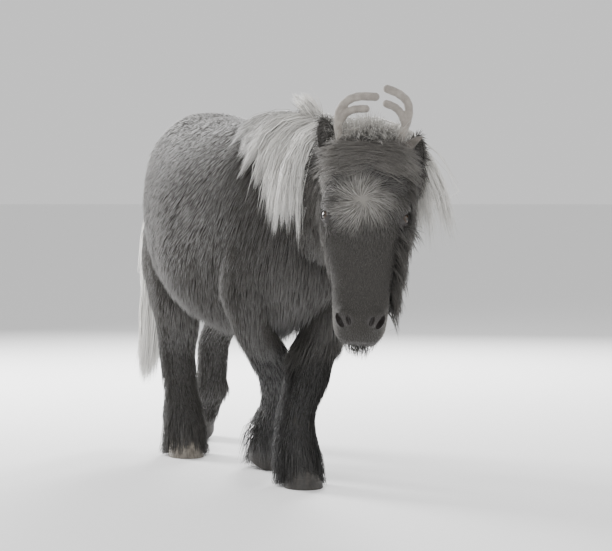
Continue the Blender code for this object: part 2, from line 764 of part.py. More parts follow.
def smooth_rows_of_rings(rings):
    """A further ring between each pair, on smooth curves through all of them."""
    columns = [smooth_rows([tuple(ring[i]) for ring in rings], 2) for i in range(len(rings[0]))]
    return [[Vector(column[k]) for column in columns] for k in range(len(columns[0]))]


def hoof(name, place, tilt):
    """A hoof wall from the sole to the coronet. A tilted one stands on its toe."""
    x, y, z = place
    turn = Matrix.Rotation(tilt, 4, "X")
    rings = []
    for share in (0.0, 0.12, 0.5, 1.0):
        rise = -HOOF_HEIGHT * (1 - share) - GAP / 2
        wide = HOOF_SOLE[0] + (HOOF_TOP[0] - HOOF_SOLE[0]) * share
        deep = HOOF_SOLE[1] + (HOOF_TOP[1] - HOOF_SOLE[1]) * share
        lean = -HOOF_SLOPE * (1 - share)
        bevel = 0.96 if share == 0.0 else 1.0
        rings.append([Vector((x, y, z)) + turn @ Vector((a * wide * bevel, b * deep * bevel + lean, rise))
                      for a, b in oval(HOOF_SIDES, 1.15)])
    obj = loft(name, rings)
    floor = slab("floor", Vector((x, y, -0.05)), (0.3, 0.3, 0.05))
    boolean(obj, "DIFFERENCE", [floor])
    return keep_largest(obj)


def slab(name, middle, half_sizes):
    """An upright closed box."""
    bm = bmesh.new()
    bmesh.ops.create_cube(bm, size=2.0)
    place = Matrix.Translation(middle) @ Matrix.Diagonal((*half_sizes, 1.0))
    bmesh.ops.transform(bm, matrix=place, verts=bm.verts)
    return make_object(name, bm)


def tube(name, points, radii, sides=8, flat=1.0):
    """A closed tube along smooth curves through the points, with a rounded end."""
    rows = [(*p, r) for p, r in zip(points, radii)]
    rows = smooth_rows(rows, 2)
    spine = [Vector(row[:3]) for row in rows]
    wide = [row[3] for row in rows]
    rings = []
    side = (spine[1] - spine[0]).orthogonal().normalized()
    for i, point in enumerate(spine):
        along = (spine[min(i + 1, len(spine) - 1)] - spine[max(i - 1, 0)]).normalized()
        side = (side - along * side.dot(along)).normalized()
        other = along.cross(side)
        rings.append([point + (side * math.cos(t) + other * math.sin(t) * flat) * wide[i]
                      for t in (2 * math.pi * k / sides for k in range(sides))])
    return loft(name, rings)


def antler(side_name, head, band):
    """A stuffed felt antler: a curved beam with one tine, cut to stand on the band."""
    facts = ANTLERS[side_name]
    thick = ANTLER_THICKNESS / 2
    parts = []
    for key, share in (("beam", 1.0), ("tine", 0.92)):
        points = [head_point(*p) for p in ((u, v, s) for u, v, s in facts[key])]
        along = (points[-1] - points[-2]).normalized()
        points += [points[-1] + along * thick * 0.7, points[-1] + along * thick * 0.98]
        radii = [thick * share] * (len(points) - 2) + [thick * share * 0.72, thick * share * 0.20]
        parts.append(tube("antler_" + side_name + "_" + key, points, radii))
    obj = boolean(parts[0], "UNION", parts[1:])
    obj.name = "antler_" + side_name
    boolean(obj, "DIFFERENCE", [grown(head, "head_room", GAP * 1.5)])
    boolean(obj, "DIFFERENCE", [grown(band, "band_room", GAP * 1.5)])
    return keep_largest(obj)


def headband(head):
    """A soft strip over the poll in front of the ears, just clear of the head."""
    tree = tree_of(head)
    middle = head_point(0.0, BAND_V, BAND_CENTRE_S)
    up = head_turn() @ Vector((0.0, 0.0, 1.0))
    across = head_turn() @ Vector((1.0, 0.0, 0.0))
    back = head_turn() @ Vector((0.0, 1.0, 0.0))
    rings = []
    for i in range(17):
        angle = BAND_REACH * (i / 8 - 1)
        way = up * math.cos(angle) + across * math.sin(angle)
        ring = []
        for depth, width in ((-0.004, -0.5), (-0.004, 0.5), (1.0, 0.5), (1.25, 0.0), (1.0, -0.5)):
            start = middle + back * width * BAND_WIDTH
            hit = tree.ray_cast(start + way * 0.3, -way)[0]
            ring.append(hit + way * (depth * BAND_THICKNESS))
        rings.append(ring)
    obj = loft("headband", rings)
    boolean(obj, "DIFFERENCE", [grown(head, "head_room", GAP * 1.5)])
    return keep_largest(obj)


def felt_ear(side_name, head, band, antlers):
    """A small flat felt leaf on the band, beside an antler."""
    points = [head_point(*p) for p in FELT_EARS[side_name]]
    facing = head_turn() @ Vector((0.0, -1.0, 0.1))
    rows = smooth_rows([(*p, w) for p, w in zip(points, (0.7, 1.0, 0.62, 0.06))], 3)
    rings = []
    for i, row in enumerate(rows):
        place = Vector(row[:3])
        along = (Vector(rows[min(i + 1, len(rows) - 1)][:3]) - Vector(rows[max(i - 1, 0)][:3])).normalized()
        across = along.cross(facing).normalized() * FELT_EAR_WIDTH / 2 * row[3]
        rise = facing * FELT_EAR_THICKNESS / 2 * min(1.0, row[3] + 0.3)
        rings.append([place + across, place + across * 0.5 + rise, place - across * 0.5 + rise,
                      place - across, place - across * 0.5 - rise, place + across * 0.5 - rise])
    obj = loft("felt_ear_" + side_name, rings)
    for other in (head, band, *antlers):
        boolean(obj, "DIFFERENCE", [grown(other, "room", GAP * 1.5)])
    return keep_largest(obj)


def lock(name, points, normals, width, thick, shape=LONG_RINGS):
    """A tapered lock with a low ridge along the middle line through the points."""
    rows = smooth_rows([(*p, *n) for p, n in zip(points, normals)], 3)
    last = len(rows) - 1
    rings = []
    for share, size in shape:
        i = round(share * last)
        place, normal = Vector(rows[i][:3]), Vector(rows[i][3:]).normalized()
        along = (Vector(rows[min(i + 1, last)][:3]) - Vector(rows[max(i - 1, 0)][:3])).normalized()
        across = along.cross(normal).normalized()
        rise = across.cross(along).normalized()
        half = across * width / 2 * size
        rings.append([place + half, place + rise * thick * size, place - half])
    bm = bmesh.new()
    made = [[bm.verts.new(p) for p in ring] for ring in rings]
    tip = bm.verts.new(rows[last][:3])
    for low, high in zip(made, made[1:]):
        for k in range(3):
            bm.faces.new((low[k], low[(k + 1) % 3], high[(k + 1) % 3], high[k]))
    for k in range(3):
        bm.faces.new((made[-1][k], made[-1][(k + 1) % 3], tip))
    bm.faces.new(made[0])
    bmesh.ops.triangulate(bm, faces=bm.faces)
    bmesh.ops.recalc_face_normals(bm, faces=bm.faces)
    return make_object(name, bm)


def middle_line(start, way, length, rise, pull, skin):
    """Points and normals from a sunk root along the skin, bending downwards and lifting to the tip."""
    near, normal = skin.find_nearest(start)[:2]
    level = Vector(way) - normal * normal.dot(way)
    way = level.normalized() if pull < HANGING else (level + DOWN * 0.5).normalized()
    points = [near - normal * LOCK_SINK - way * 0.012]
    normals = [normal]
    point = near
    steps = 5
    for i in range(1, steps + 1):
        step = way * (length / steps)
        target = point + step
        near, normal = skin.find_nearest(target)[:2]
        clear = LOCK_LIE + rise * (i / steps)
        height = (target - near).dot(normal)
        if height < clear or (pull < HANGING and height > clear + 0.006):
            target = near + normal * clear
        way = (target - point).normalized()
        way = (way + DOWN * (pull / steps * 1.6)).normalized()
        points.append(target)
        normals.append(normal)
        point = target
    return points, normals


def roots_in(skin, low, high, facing, least, number, taken):
    """Root places on one node's skin, each as far as can be from those already taken."""
    facing = Vector(facing).normalized()
    found = []
    for face in skin.data.polygons:
        middle = face.center
        inside = all(low[i] <= middle[i] <= high[i] for i in range(3))
        if inside and face.normal.dot(facing) >= least:
            found.append(tuple(middle))
    places = np.array(found)
    room = np.full(len(places), 0.5)
    for other in taken:
        room = np.minimum(room, np.linalg.norm(places - np.array(other), axis=1))
    chosen = []
    for _ in range(number):
        best = int(np.argmax(room))
        chosen.append(Vector(places[best]))
        taken.append(tuple(places[best]))
        room = np.minimum(room, np.linalg.norm(places - places[best], axis=1))
    return chosen


def lie(point):
    """The way the body's coat lies: back and down, straight down on the chest, the rump and the legs."""
    side = 1.0 if point.x > 0 else -1.0
    if point.z < 0.40 or point.y < -0.30:
        return Vector((side * 0.05, 0.15, -1.0))
    if point.y < -0.12:
        return Vector((side * 0.15, 0.35, -1.0))
    if point.y > 0.62:
        return Vector((side * 0.25, 0.55, -0.85))
    return Vector((side * 0.30, 0.85, -0.60))


class Fleece:
    """Collects each node's locks and keeps them clear of all other nodes."""

    def __init__(self, nodes, skin):
        self.nodes = nodes
        self.skin = skin
        self.locks = {name: [] for name in nodes}
        self.trees = {name: [tree_of(obj)] for name, obj in nodes.items()}

    def clashes(self, node, obj):
        """Whether the lock, made a little larger, meets another node or its locks."""
        wider = grown(obj, "wider", LOCK_CLEAR)
        tree = tree_of(wider)
        bpy.data.objects.remove(wider)
        for name, trees in self.trees.items():
            if name != node and any(tree.overlap(other) for other in trees):
                return True
        return False

    def keep_if_clear(self, node, obj):
        """Keeps the lock for its node, or removes it if it meets another node."""
        if self.clashes(node, obj):
            bpy.data.objects.remove(obj)
            return False
        self.locks[node].append(obj)
        self.trees[node].append(tree_of(obj))
        return True

    def add(self, node, start, way, length, width, thick, rise, pull):
        """Adds one lock, lifted or shortened until it is clear of the other nodes."""
        for lift, share in ((0.0, 1.0), (0.006, 1.0), (0.014, 0.9), (0.02, 0.7)):
            points, normals = middle_line(start, way, length * share, rise + lift, pull, self.skin)
            if self.keep_if_clear(node, lock(node + "_lock", points, normals, width, thick, LOCK_RINGS)):
                return

    def join(self):
        """Fuses every node with its locks."""
        for node, locks in self.locks.items():
            if locks:
                keep_largest(boolean(self.nodes[node], "UNION", locks))


def coat_locks(fleece, skins, rng):
    """The locks of every coat zone."""
    taken = []
    for node, low, high, facing, least, number, kind in LOCK_ZONES:
        length, width, thick, rise, pull = LOCK_KINDS[kind]
        for root in roots_in(skins[node], low, high, facing, least, number, taken):
            size = rng.uniform(0.85, 1.15)
            way = lie(root) + Vector([rng.uniform(-most, most) for most in (0.15, 0.12, 0.10)])
            fleece.add(node, root, way, length * size, width * rng.uniform(0.9, 1.1), thick, rise, pull)


def guided_line(guides, share, start, jitter, skin, lift):
    """A middle line between neighbouring guides, pushed clear of the skin."""
    place = share * (len(guides) - 1)
    k = min(int(place), len(guides) - 2)
    mixed = [Vector(p).lerp(Vector(q), place - k) for p, q in zip(guides[k], guides[k + 1])]
    fine = smooth_rows([tuple(p) for p in mixed], 8)
    points, normals = [], []
    for i in range(6):
        t = start + (1 - start) * i / 5
        point = Vector(fine[round(t * (len(fine) - 1))]) + jitter * (i / 5)
        near, normal = skin.find_nearest(point)[:2]
        clear = MANE_LIE + lift * min(1.0, i / 2) if i else -LOCK_SINK
        if i == 0 or (point - near).dot(normal) < clear:
            point = near + normal * clear
        points.append(point)
        normals.append(normal)
    return points, normals


def mane_locks(fleece, rng):
    """The falls of the mane on both sides of the crest, and the tuft that the wind lifts."""
    for number, start, stand, guides in MANE_FALLS:
        for i in range(number):
            share = (i + 0.5 + rng.uniform(-0.2, 0.2)) / number
            jitter = Vector((rng.uniform(-0.012, 0.012), rng.uniform(-0.03, 0.03), rng.uniform(-0.03, 0.03)))
            for lift in (0.0, 0.008, 0.018):
                points, normals = guided_line(guides, share, start, jitter, fleece.skin, stand + lift)
                wide = MANE_LOCK[0] * rng.uniform(0.85, 1.15) * (0.5 if guides is MANE_TUFT else 1.0)
                obj = lock("mane_lock", points, normals, wide, MANE_LOCK[1])
                if fleece.keep_if_clear("neck", obj):
                    break


def dock():
    """The hidden core of the tail, a little under half as thick and long as its hair."""
    points = [Vector(p) for p, r in DOCK]
    return tube("tail", points, [r * 0.75 for p, r in DOCK], 10)


def tail_locks(fleece, core, rng):
    """Locks round the dock that hang to the tail's tips."""
    core_skin = tree_of(core)
    rows = smooth_rows([(*p, r) for p, r in DOCK], 6)
    for i in range(TAIL_LOCKS):
        share = 0.06 + 0.80 * (i / TAIL_LOCKS)
        row = rows[int(share * (len(rows) - 1))]
        angle = i * 2.399963
        out = Vector((math.cos(angle), math.sin(angle), 0.0))
        if out.y < -0.3 and row[2] > 0.72:
            out.y = -out.y
        middle = Vector(row[:3])
        near, normal = core_skin.find_nearest(middle + out * 0.2)[:2]
        length = (near.z - TAIL_END.z) * rng.uniform(0.80, 1.0)
        length = min(length, 0.44 + 0.1 * share)
        add_tail_lock(fleece, near, normal, out, length, rng)


def add_tail_lock(fleece, near, normal, out, length, rng):
    """One hanging lock of the tail, closing in towards the tail's end."""
    for spread in (1.0, 0.6, 0.3):
        points, normals = [near - normal * 0.012], [normal]
        for k in range(1, 6):
            t = k / 5
            drop = length * t
            swell = 0.016 * math.sin(math.pi * min(t * 1.2, 1.0)) * spread
            target = near + out * swell - Vector((0.0, 0.0, drop))
            pull = (near.z - target.z) / max(near.z - TAIL_END.z, 0.1)
            goal = TAIL_END + out * 0.030
            target.x += (goal.x - target.x) * pull * 0.7
            target.y += (goal.y - target.y) * pull * 0.7
            points.append(target)
            normals.append((out + normal * 0.4).normalized())
        obj = lock("tail_lock", points, normals, TAIL_LOCK[0] * rng.uniform(0.85, 1.15), TAIL_LOCK[1])
        if fleece.keep_if_clear("tail", obj):
            return


def forelock(fleece, rng):
    """The light tuft that stands up behind the band, between the antlers."""
    for u in FORELOCK:
        start = head_point(u, BAND_V + 0.045, 0.02)
        bend = rng.uniform(-0.016, 0.016)
        points, normals = [], []
        for t in (0.0, 0.25, 0.5, 0.75, 1.0):
            across = u * (1 + 0.5 * t) + bend * t * t
            points.append(head_point(across, BAND_V + 0.045 - 0.030 * t * t, 0.020 - 0.080 * t))
            normals.append(head_turn() @ Vector((0.0, -1.0, -0.2)))
        near, normal = fleece.skin.find_nearest(start)[:2]
        points[0] = near - normal * LOCK_SINK
        points[1] = near + normal * 0.012
        obj = lock("forelock", points, normals, 0.020 * rng.uniform(0.9, 1.1), 0.007)
        fleece.keep_if_clear("head", obj)


COLOURS = {
    "coat": ((0.045, 0.040, 0.036), 0.8),
    "mane": ((0.60, 0.58, 0.54), 0.7),
    "hoof": ((0.050, 0.045, 0.040), 0.5),
    "pale_hoof": ((0.22, 0.19, 0.15), 0.5),
    "eye": ((0.012, 0.009, 0.008), 0.1),
    "felt": ((0.30, 0.27, 0.24), 0.95),
    "felt_ear": ((0.26, 0.235, 0.21), 0.95),
    "band": ((0.060, 0.055, 0.050), 0.9),
}
FINISHES = {
    "neck": "mane", "tail": "mane",
    "hoof_fore_left": "hoof", "hoof_fore_right": "hoof", "hoof_hind_left": "hoof",
    "hoof_hind_right": "pale_hoof", "eye_left": "eye", "eye_right": "eye", "antler_left": "felt",
    "antler_right": "felt", "headband": "band", "felt_ear_left": "felt_ear", "felt_ear_right": "felt_ear",
}


def finish_nodes(nodes):
    """Gives each node its one material."""
    made = {name: make_material(name, colour, rough, 0.0) for name, (colour, rough) in COLOURS.items()}
    for obj in nodes:
        obj.data.materials.clear()
        obj.data.materials.append(made[FINISHES.get(obj.name, "coat")])


def set_origin(nodes):
    """Moves every node so that the middle of the whole model's base is the origin."""
    points = [v.co for obj in nodes for v in obj.data.vertices]
    low = [min(p[i] for p in points) for i in range(3)]
    high = [max(p[i] for p in points) for i in range(3)]
    shift = Vector((-(low[0] + high[0]) / 2, -(low[1] + high[1]) / 2, -low[2]))
    for obj in nodes:
        obj.data.transform(Matrix.Translation(shift))


def main():
    remove_start_scene()
    body = fused_body()
    whole = tree_of(body)
    nodes, skins = part_body(body)
    bpy.data.objects.remove(body)
    head, torso = nodes["head"], nodes["torso"]
    made = dict(nodes)
    for side in (LEFT, RIGHT):
        eye = eye_parts(head, side)
        made[eye.name] = eye
        cut_nostril(head, side)
        cup = ear(head, side)
        made[cup.name] = cup
    cut_mouth(head)
    for name, (place, tilt) in HOOVES.items():
        made["hoof_" + name] = hoof("hoof_" + name, place, tilt)
    core = dock()
    boolean(core, "DIFFERENCE", [grown(torso, "torso_room", GAP * 1.5)])
    made["tail"] = keep_largest(core)
    made["headband"] = headband(head)
    for side_name in ANTLERS:
        made["antler_" + side_name] = antler(side_name, head, made["headband"])
    horns = [made["antler_left"], made["antler_right"]]
    for side_name in FELT_EARS:
        leaf = felt_ear(side_name, head, made["headband"], horns)
        made[leaf.name] = leaf
    rng = random.Random(SEED)
    fleece = Fleece(made, whole)
    forelock(fleece, rng)
    mane_locks(fleece, rng)
    tail_locks(fleece, made["tail"], rng)
    coat_locks(fleece, skins, rng)
    for skin in skins.values():
        bpy.data.objects.remove(skin)
    fleece.join()
    finish_nodes(list(made.values()))
    set_origin(list(made.values()))


main()
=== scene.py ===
"""Life-size Shetland pony in its winter coat, walking, with its head turned and an antler headband.

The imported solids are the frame. One skin takes the place of the nodes of flesh, and coat, mane, tail and
feather grow from it as solid tufts. Metres, +Z up; the pony faces -Y and its left side is +X. Every size is
given in the pony's own coordinates, and the finished pieces are moved to the frame's origin at the end.
"""

from __future__ import annotations

import json
import logging
import math
from collections.abc import Iterable, Sequence
from dataclasses import dataclass, field
from enum import Enum

import bmesh
import bpy
import numpy as np
from mathutils import Matrix, Vector
from mathutils.bvhtree import BVHTree
from mathutils.kdtree import KDTree

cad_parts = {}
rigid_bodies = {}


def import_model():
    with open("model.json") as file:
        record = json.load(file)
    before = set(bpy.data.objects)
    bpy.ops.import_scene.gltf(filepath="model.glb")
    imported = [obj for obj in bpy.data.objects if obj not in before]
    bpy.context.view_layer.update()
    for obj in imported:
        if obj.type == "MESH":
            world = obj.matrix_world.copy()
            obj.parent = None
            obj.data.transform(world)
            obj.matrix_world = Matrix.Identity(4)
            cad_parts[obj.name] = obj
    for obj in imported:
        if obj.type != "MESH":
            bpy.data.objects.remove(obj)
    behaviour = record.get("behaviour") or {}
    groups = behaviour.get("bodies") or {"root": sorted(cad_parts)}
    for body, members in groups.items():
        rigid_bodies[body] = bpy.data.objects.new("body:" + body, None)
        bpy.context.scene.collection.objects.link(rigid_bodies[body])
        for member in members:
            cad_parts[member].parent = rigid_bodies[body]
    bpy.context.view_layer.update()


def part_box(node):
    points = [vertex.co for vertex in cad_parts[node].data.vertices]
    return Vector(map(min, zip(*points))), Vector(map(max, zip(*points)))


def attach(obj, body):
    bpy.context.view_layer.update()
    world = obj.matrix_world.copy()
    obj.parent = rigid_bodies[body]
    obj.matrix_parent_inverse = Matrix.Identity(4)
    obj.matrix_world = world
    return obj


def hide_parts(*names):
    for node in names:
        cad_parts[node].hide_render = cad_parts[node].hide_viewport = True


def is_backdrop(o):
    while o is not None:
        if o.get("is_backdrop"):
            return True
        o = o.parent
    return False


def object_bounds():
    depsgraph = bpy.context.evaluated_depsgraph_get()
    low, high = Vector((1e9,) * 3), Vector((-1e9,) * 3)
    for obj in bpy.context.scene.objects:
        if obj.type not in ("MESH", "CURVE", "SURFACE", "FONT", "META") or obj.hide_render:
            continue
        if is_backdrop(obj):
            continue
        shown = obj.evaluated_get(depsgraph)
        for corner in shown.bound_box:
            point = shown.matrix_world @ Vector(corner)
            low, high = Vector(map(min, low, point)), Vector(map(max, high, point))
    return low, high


LOG = logging.getLogger("pony")
Point = tuple[float, float, float]
Row = tuple[float, ...]
Array = np.ndarray
Object = bpy.types.Object
UP = np.array((0.0, 0.0, 1.0))


class Side(Enum):
    """The pony's own left and right, as the sign of X."""

    LEFT = 1
    RIGHT = -1

    @property
    def label(self) -> str:
        """The side's name as the frame's nodes spell it."""
        return self.name.lower()


# Plain geometry.


def smooth_rows(rows: Sequence[Row], steps: int) -> list[list[float]]:
    """Catmull-Rom interpolation of a station table.

    Args:
        rows: stations of equally many numbers.
        steps: how many steps lie between two stations.

    Returns:
        The finer table, ending with the last station.
    """
    made: list[list[float]] = []
    for i in range(len(rows) - 1):
        before, after = rows[max(i - 1, 0)], rows[min(i + 2, len(rows) - 1)]
        for k in range(steps):
            t = k / steps
            made.append([
                0.5 * (2 * b + (c - a) * t + (2 * a - 5 * b + 4 * c - d) * t**2
                       + (3 * b - a - 3 * c + d) * t**3)
                for a, b, c, d in zip(before, rows[i], rows[i + 1], after)
            ])
    return [*made, list(rows[-1])]


def oval(sides: int, squareness: float = 1.0) -> list[tuple[float, float]]:
    """Points of a unit oval.

    Args:
        sides: how many points.
        squareness: under 1 fills out the corners.

    Returns:
        Pairs of across and up.
    """
    pairs = []
    for k in range(sides):
        c, s = math.cos(math.tau * k / sides), math.sin(math.tau * k / sides)
        pairs.append((math.copysign(abs(c) ** squareness, c), math.copysign(abs(s) ** squareness, s)))
    return pairs


def shown(name: str, bm: bmesh.types.BMesh) -> Object:
    """Makes a scene object of a bmesh, which is freed.

    Args:
        name: the object's name.
        bm: its shape.

    Returns:
        The linked object.
    """
    mesh = bpy.data.meshes.new(name)
    bm.to_mesh(mesh)
    bm.free()
    obj = bpy.data.objects.new(name, mesh)
    bpy.context.scene.collection.objects.link(obj)
    return obj


def loft(name: str, rings: Sequence[Sequence[Vector | Point]]) -> Object:
    """Bridges rings of points to one closed form.

    Args:
        name: the object's name.
        rings: loops of equally many points.

    Returns:
        The object, with a cap on both ends.
    """
    bm = bmesh.new()
    loops = []
    for ring in rings:
        verts = [bm.verts.new(p) for p in ring]
        loops.append([bm.edges.new((a, b)) for a, b in zip(verts, verts[1:] + verts[:1])])
    for low, high in zip(loops, loops[1:]):
        bmesh.ops.bridge_loops(bm, edges=low + high)
    for loop in (loops[0], loops[-1]):
        bmesh.ops.contextual_create(bm, geom=loop)
    bmesh.ops.recalc_face_normals(bm, faces=bm.faces)
    return shown(name, bm)


def ball(name: str, place: Matrix, radii: Point, level: int = 4) -> Object:
    """A closed ellipsoid.

    Args:
        name: the object's name.
        place: its middle and turn.
        radii: half sizes along its own axes.
        level: how fine its faces are.

    Returns:
        The object.
    """
    bm = bmesh.new()
    bmesh.ops.create_icosphere(bm, subdivisions=level, radius=1.0)
    bmesh.ops.transform(bm, matrix=place @ Matrix.Diagonal((*radii, 1.0)), verts=bm.verts)
    return shown(name, bm)


def apply_modifiers(obj: Object) -> Object:
    """Puts the object's evaluated mesh in place of its own.

    Args:
        obj: an object with modifiers.

    Returns:
        The same object, with none left.
    """
    graph = bpy.context.evaluated_depsgraph_get()
    mesh = bpy.data.meshes.new_from_object(obj.evaluated_get(graph))
    obj.modifiers.clear()
    obj.data = mesh
    return obj


def joined(objects: Iterable[Object], name: str) -> Object:
    """One object of many, which are removed.

    Args:
        objects: the forms to join.
        name: the new object's name.

    Returns:
        The joined object.
    """
    bm = bmesh.new()
    for obj in list(objects):
        bm.from_mesh(obj.data)
        bpy.data.objects.remove(obj)
    return shown(name, bm)


def fused(obj: Object, voxel: float, smoothing: int) -> Object:
    """Turns overlapping closed forms into one smooth surface.

    Args:
        obj: the joined forms.
        voxel: the size of the new faces.
        smoothing: how many rounds of smoothing follow.

    Returns:
        The same object.
    """
    remesh = obj.modifiers.new("fuse", "REMESH")
    remesh.mode = "VOXEL"
    remesh.voxel_size = voxel
    smooth = obj.modifiers.new("smooth", "SMOOTH")
    smooth.factor = 0.5
    smooth.iterations = smoothing
    return apply_modifiers(obj)


def boolean(obj: Object, operation: str, other: Object) -> Object:
    """Joins or cuts with another closed object, which is removed.

    Args:
        obj: the object that is changed.
        operation: UNION, DIFFERENCE or INTERSECT.
        other: the second form.

    Returns:
        The changed object.
    """
    modifier = obj.modifiers.new("boolean", "BOOLEAN")
    modifier.operation = operation
    modifier.solver = "MANIFOLD"
    modifier.object = other
    apply_modifiers(obj)
    bpy.data.objects.remove(other)
    return obj


def turned_to(direction: Vector, up: Vector) -> Matrix:
    """A rotation with Z along a direction.

    Args:
        direction: where Z points.
        up: where Y leans.

    Returns:
        The rotation as a 4x4 matrix.
    """
    z = direction.normalized()
    x = up.cross(z).normalized()
    return Matrix((x, z.cross(x), z)).transposed().to_4x4()


def unit(vectors: Array) -> Array:
    """The vectors brought to length one."""
    return vectors / np.maximum(np.linalg.norm(vectors, axis=-1, keepdims=True), 1e-9)


def ramp(low: float, high: float, values: Array) -> Array:
    """A smooth step from 0 at low to 1 at high."""
    t = np.clip((values - low) / (high - low), 0.0, 1.0)
    return t * t * (3.0 - 2.0 * t)


def ripple(points: Array, scale: float, seed: int) -> Array:
    """Soft noise in three directions.

    Args:
        points: places, N by 3.
        scale: the size of its waves.
        seed: which noise.

    Returns:
        Vectors, N by 3, about -1 to 1 in each direction.
    """
    rng = np.random.default_rng(seed)
    total = np.zeros_like(points)
    for octave in range(4):
        waves = rng.normal(size=(3, 3)) * (1.6**octave) / scale
        total += np.sin(points @ waves + rng.uniform(0, 6.28, 3)) / (1.25**octave)
    return total / 2.0


# Shader expressions.


class Value:
    """One shader socket, on which arithmetic adds Math nodes."""

    def __init__(self, graph: Graph, socket: bpy.types.NodeSocket) -> None:
        """Wraps the socket of a graph."""
        self.graph = graph
        self.socket = socket

    def _math(self, operation: str, first: Value | float, second: Value | float) -> Value:
        """A Math node on two numbers."""
        return self.graph.node("ShaderNodeMath", {"operation": operation}, {0: first, 1: second})

    def __add__(self, other: Value | float) -> Value:
        """The sum."""
        return self._math("ADD", self, other)

    __radd__ = __add__

    def __mul__(self, other: Value | float) -> Value:
        """The product."""
        return self._math("MULTIPLY", self, other)

    __rmul__ = __mul__

    def __sub__(self, other: Value | float) -> Value:
        """This less the other."""
        return self._math("SUBTRACT", self, other)

    def __rsub__(self, other: Value | float) -> Value:
        """The other less this."""
        return self._math("SUBTRACT", other, self)

    def __truediv__(self, other: Value | float) -> Value:
        """This by the other."""
        return self._math("DIVIDE", self, other)

    def __pow__(self, other: Value | float) -> Value:
        """This to a power."""
        return self._math("POWER", self, other)

    def step(self, low: float, high: float) -> Value:
        """A smooth 0 to 1 between two numbers."""
        settings = {"interpolation_type": "SMOOTHSTEP"}
        return self.graph.node("ShaderNodeMapRange", settings, {0: self, 1: low, 2: high})


class Graph:
    """A material's nodes, made from expressions."""

    def __init__(self, name: str) -> None:
        """Starts a material with one Principled shader.

        Args:
            name: the material's name.
        """
        self.material = bpy.data.materials.new(name)
        self.material.use_nodes = True
        self.tree = self.material.node_tree
        self.shader = self.tree.nodes["Principled BSDF"]

    def node(
        self, kind: str, settings: dict | None = None, inputs: dict | None = None, out: int = 0
    ) -> Value:
        """Adds one node.

        Args:
            kind: the node's type.
            settings: its properties; stops gives a ramp's places and colours.
            inputs: values or links by socket name or number.
            out: which of its outputs is wanted.

        Returns:
            That output.
        """
        node = self.tree.nodes.new(kind)
        for key, value in (settings or {}).items():
            if key == "stops":
                self._set_stops(node.color_ramp, value)
            else:
                setattr(node, key, value)
        for key, value in (inputs or {}).items():
            self._feed(node.inputs[key], value)
        return Value(self, node.outputs[out])

    def _feed(self, socket: bpy.types.NodeSocket, value: Value | float | Sequence[float]) -> None:
        """Links a value to a socket, or sets its number.

        Args:
            socket: the input.
            value: what goes into it.
        """
        if isinstance(value, Value):
            self.tree.links.new(value.socket, socket)
        else:
            socket.default_value = value

    @staticmethod
    def _set_stops(band: bpy.types.ColorRamp, stops: Sequence[tuple[float, Sequence[float]]]) -> None:
        """Gives a ramp its stops.

        Args:
            band: the ramp.
            stops: its places and colours.
        """
        while len(band.elements) < len(stops):
            band.elements.new(0.5)
        for element, (place, colour) in zip(band.elements, stops):
            element.position = place
            element.color = (*colour, 1.0)

    def place(self) -> Value:
        """The point in the object's own coordinates."""
        return self.node("ShaderNodeTexCoord", out=3)

    def attribute(self, name: str) -> Value:
        """A number that the mesh carries."""
        return self.node("ShaderNodeAttribute", {"attribute_name": name}, out=2)

    def noise(self, scale: float, detail: float = 3.0, stretch: Point = (1.0, 1.0, 1.0)) -> Value:
        """Noise from 0 to 1 on the object's coordinates.

        Args:
            scale: how many waves there are in a metre.
            detail: how many finer layers it has.
            stretch: how it is drawn out along X, Y and Z.

        Returns:
            The noise.
        """
        where = self.node("ShaderNodeMapping", None, {"Vector": self.place(), "Scale": stretch})
        return self.node("ShaderNodeTexNoise", None, {"Vector": where, "Scale": scale, "Detail": detail})

    def mix(self, share: Value | float, low: Value | Sequence[float], high: Value | Sequence[float]) -> Value:
        """A colour between two others.

        Args:
            share: 0 gives the first and 1 the second.
            low: the first colour.
            high: the second colour.

        Returns:
            The mixed colour.
        """
        ends = [(*c, 1.0) if not isinstance(c, Value) else c for c in (low, high)]
        inputs = {0: share, 6: ends[0], 7: ends[1]}
        return self.node("ShaderNodeMix", {"data_type": "RGBA"}, inputs, 2)

    def shade(self, colour: Value, amount: Value | float) -> Value:
        """A colour made darker or lighter by a factor."""
        grey = self.node("ShaderNodeCombineXYZ", None, {0: amount, 1: amount, 2: amount})
        return self.node("ShaderNodeVectorMath", {"operation": "MULTIPLY"}, {0: colour, 1: grey})

    def bump(self, height: Value, strength: float, distance: float) -> Value:
        """A normal from a height.

        Args:
            height: the height from 0 to 1.
            strength: how much of it counts.
            distance: its full height in metres.

        Returns:
            The normal.
        """
        inputs = {"Height": height, "Strength": strength, "Distance": distance}
        return self.node("ShaderNodeBump", None, inputs)

    def dress(self, *objects: Object, **sockets: Value | float | Sequence[float]) -> None:
        """Feeds the shader and puts the material on objects.

        Args:
            objects: what gets the material.
            sockets: the shader's inputs, with _ for a space.
        """
        for key, value in sockets.items():
            self._feed(self.shader.inputs[key.replace("_", " ")], value)
        for obj in objects:
            obj.data.materials.clear()
            obj.data.materials.append(self.material)


Colour = tuple[float, float, float]


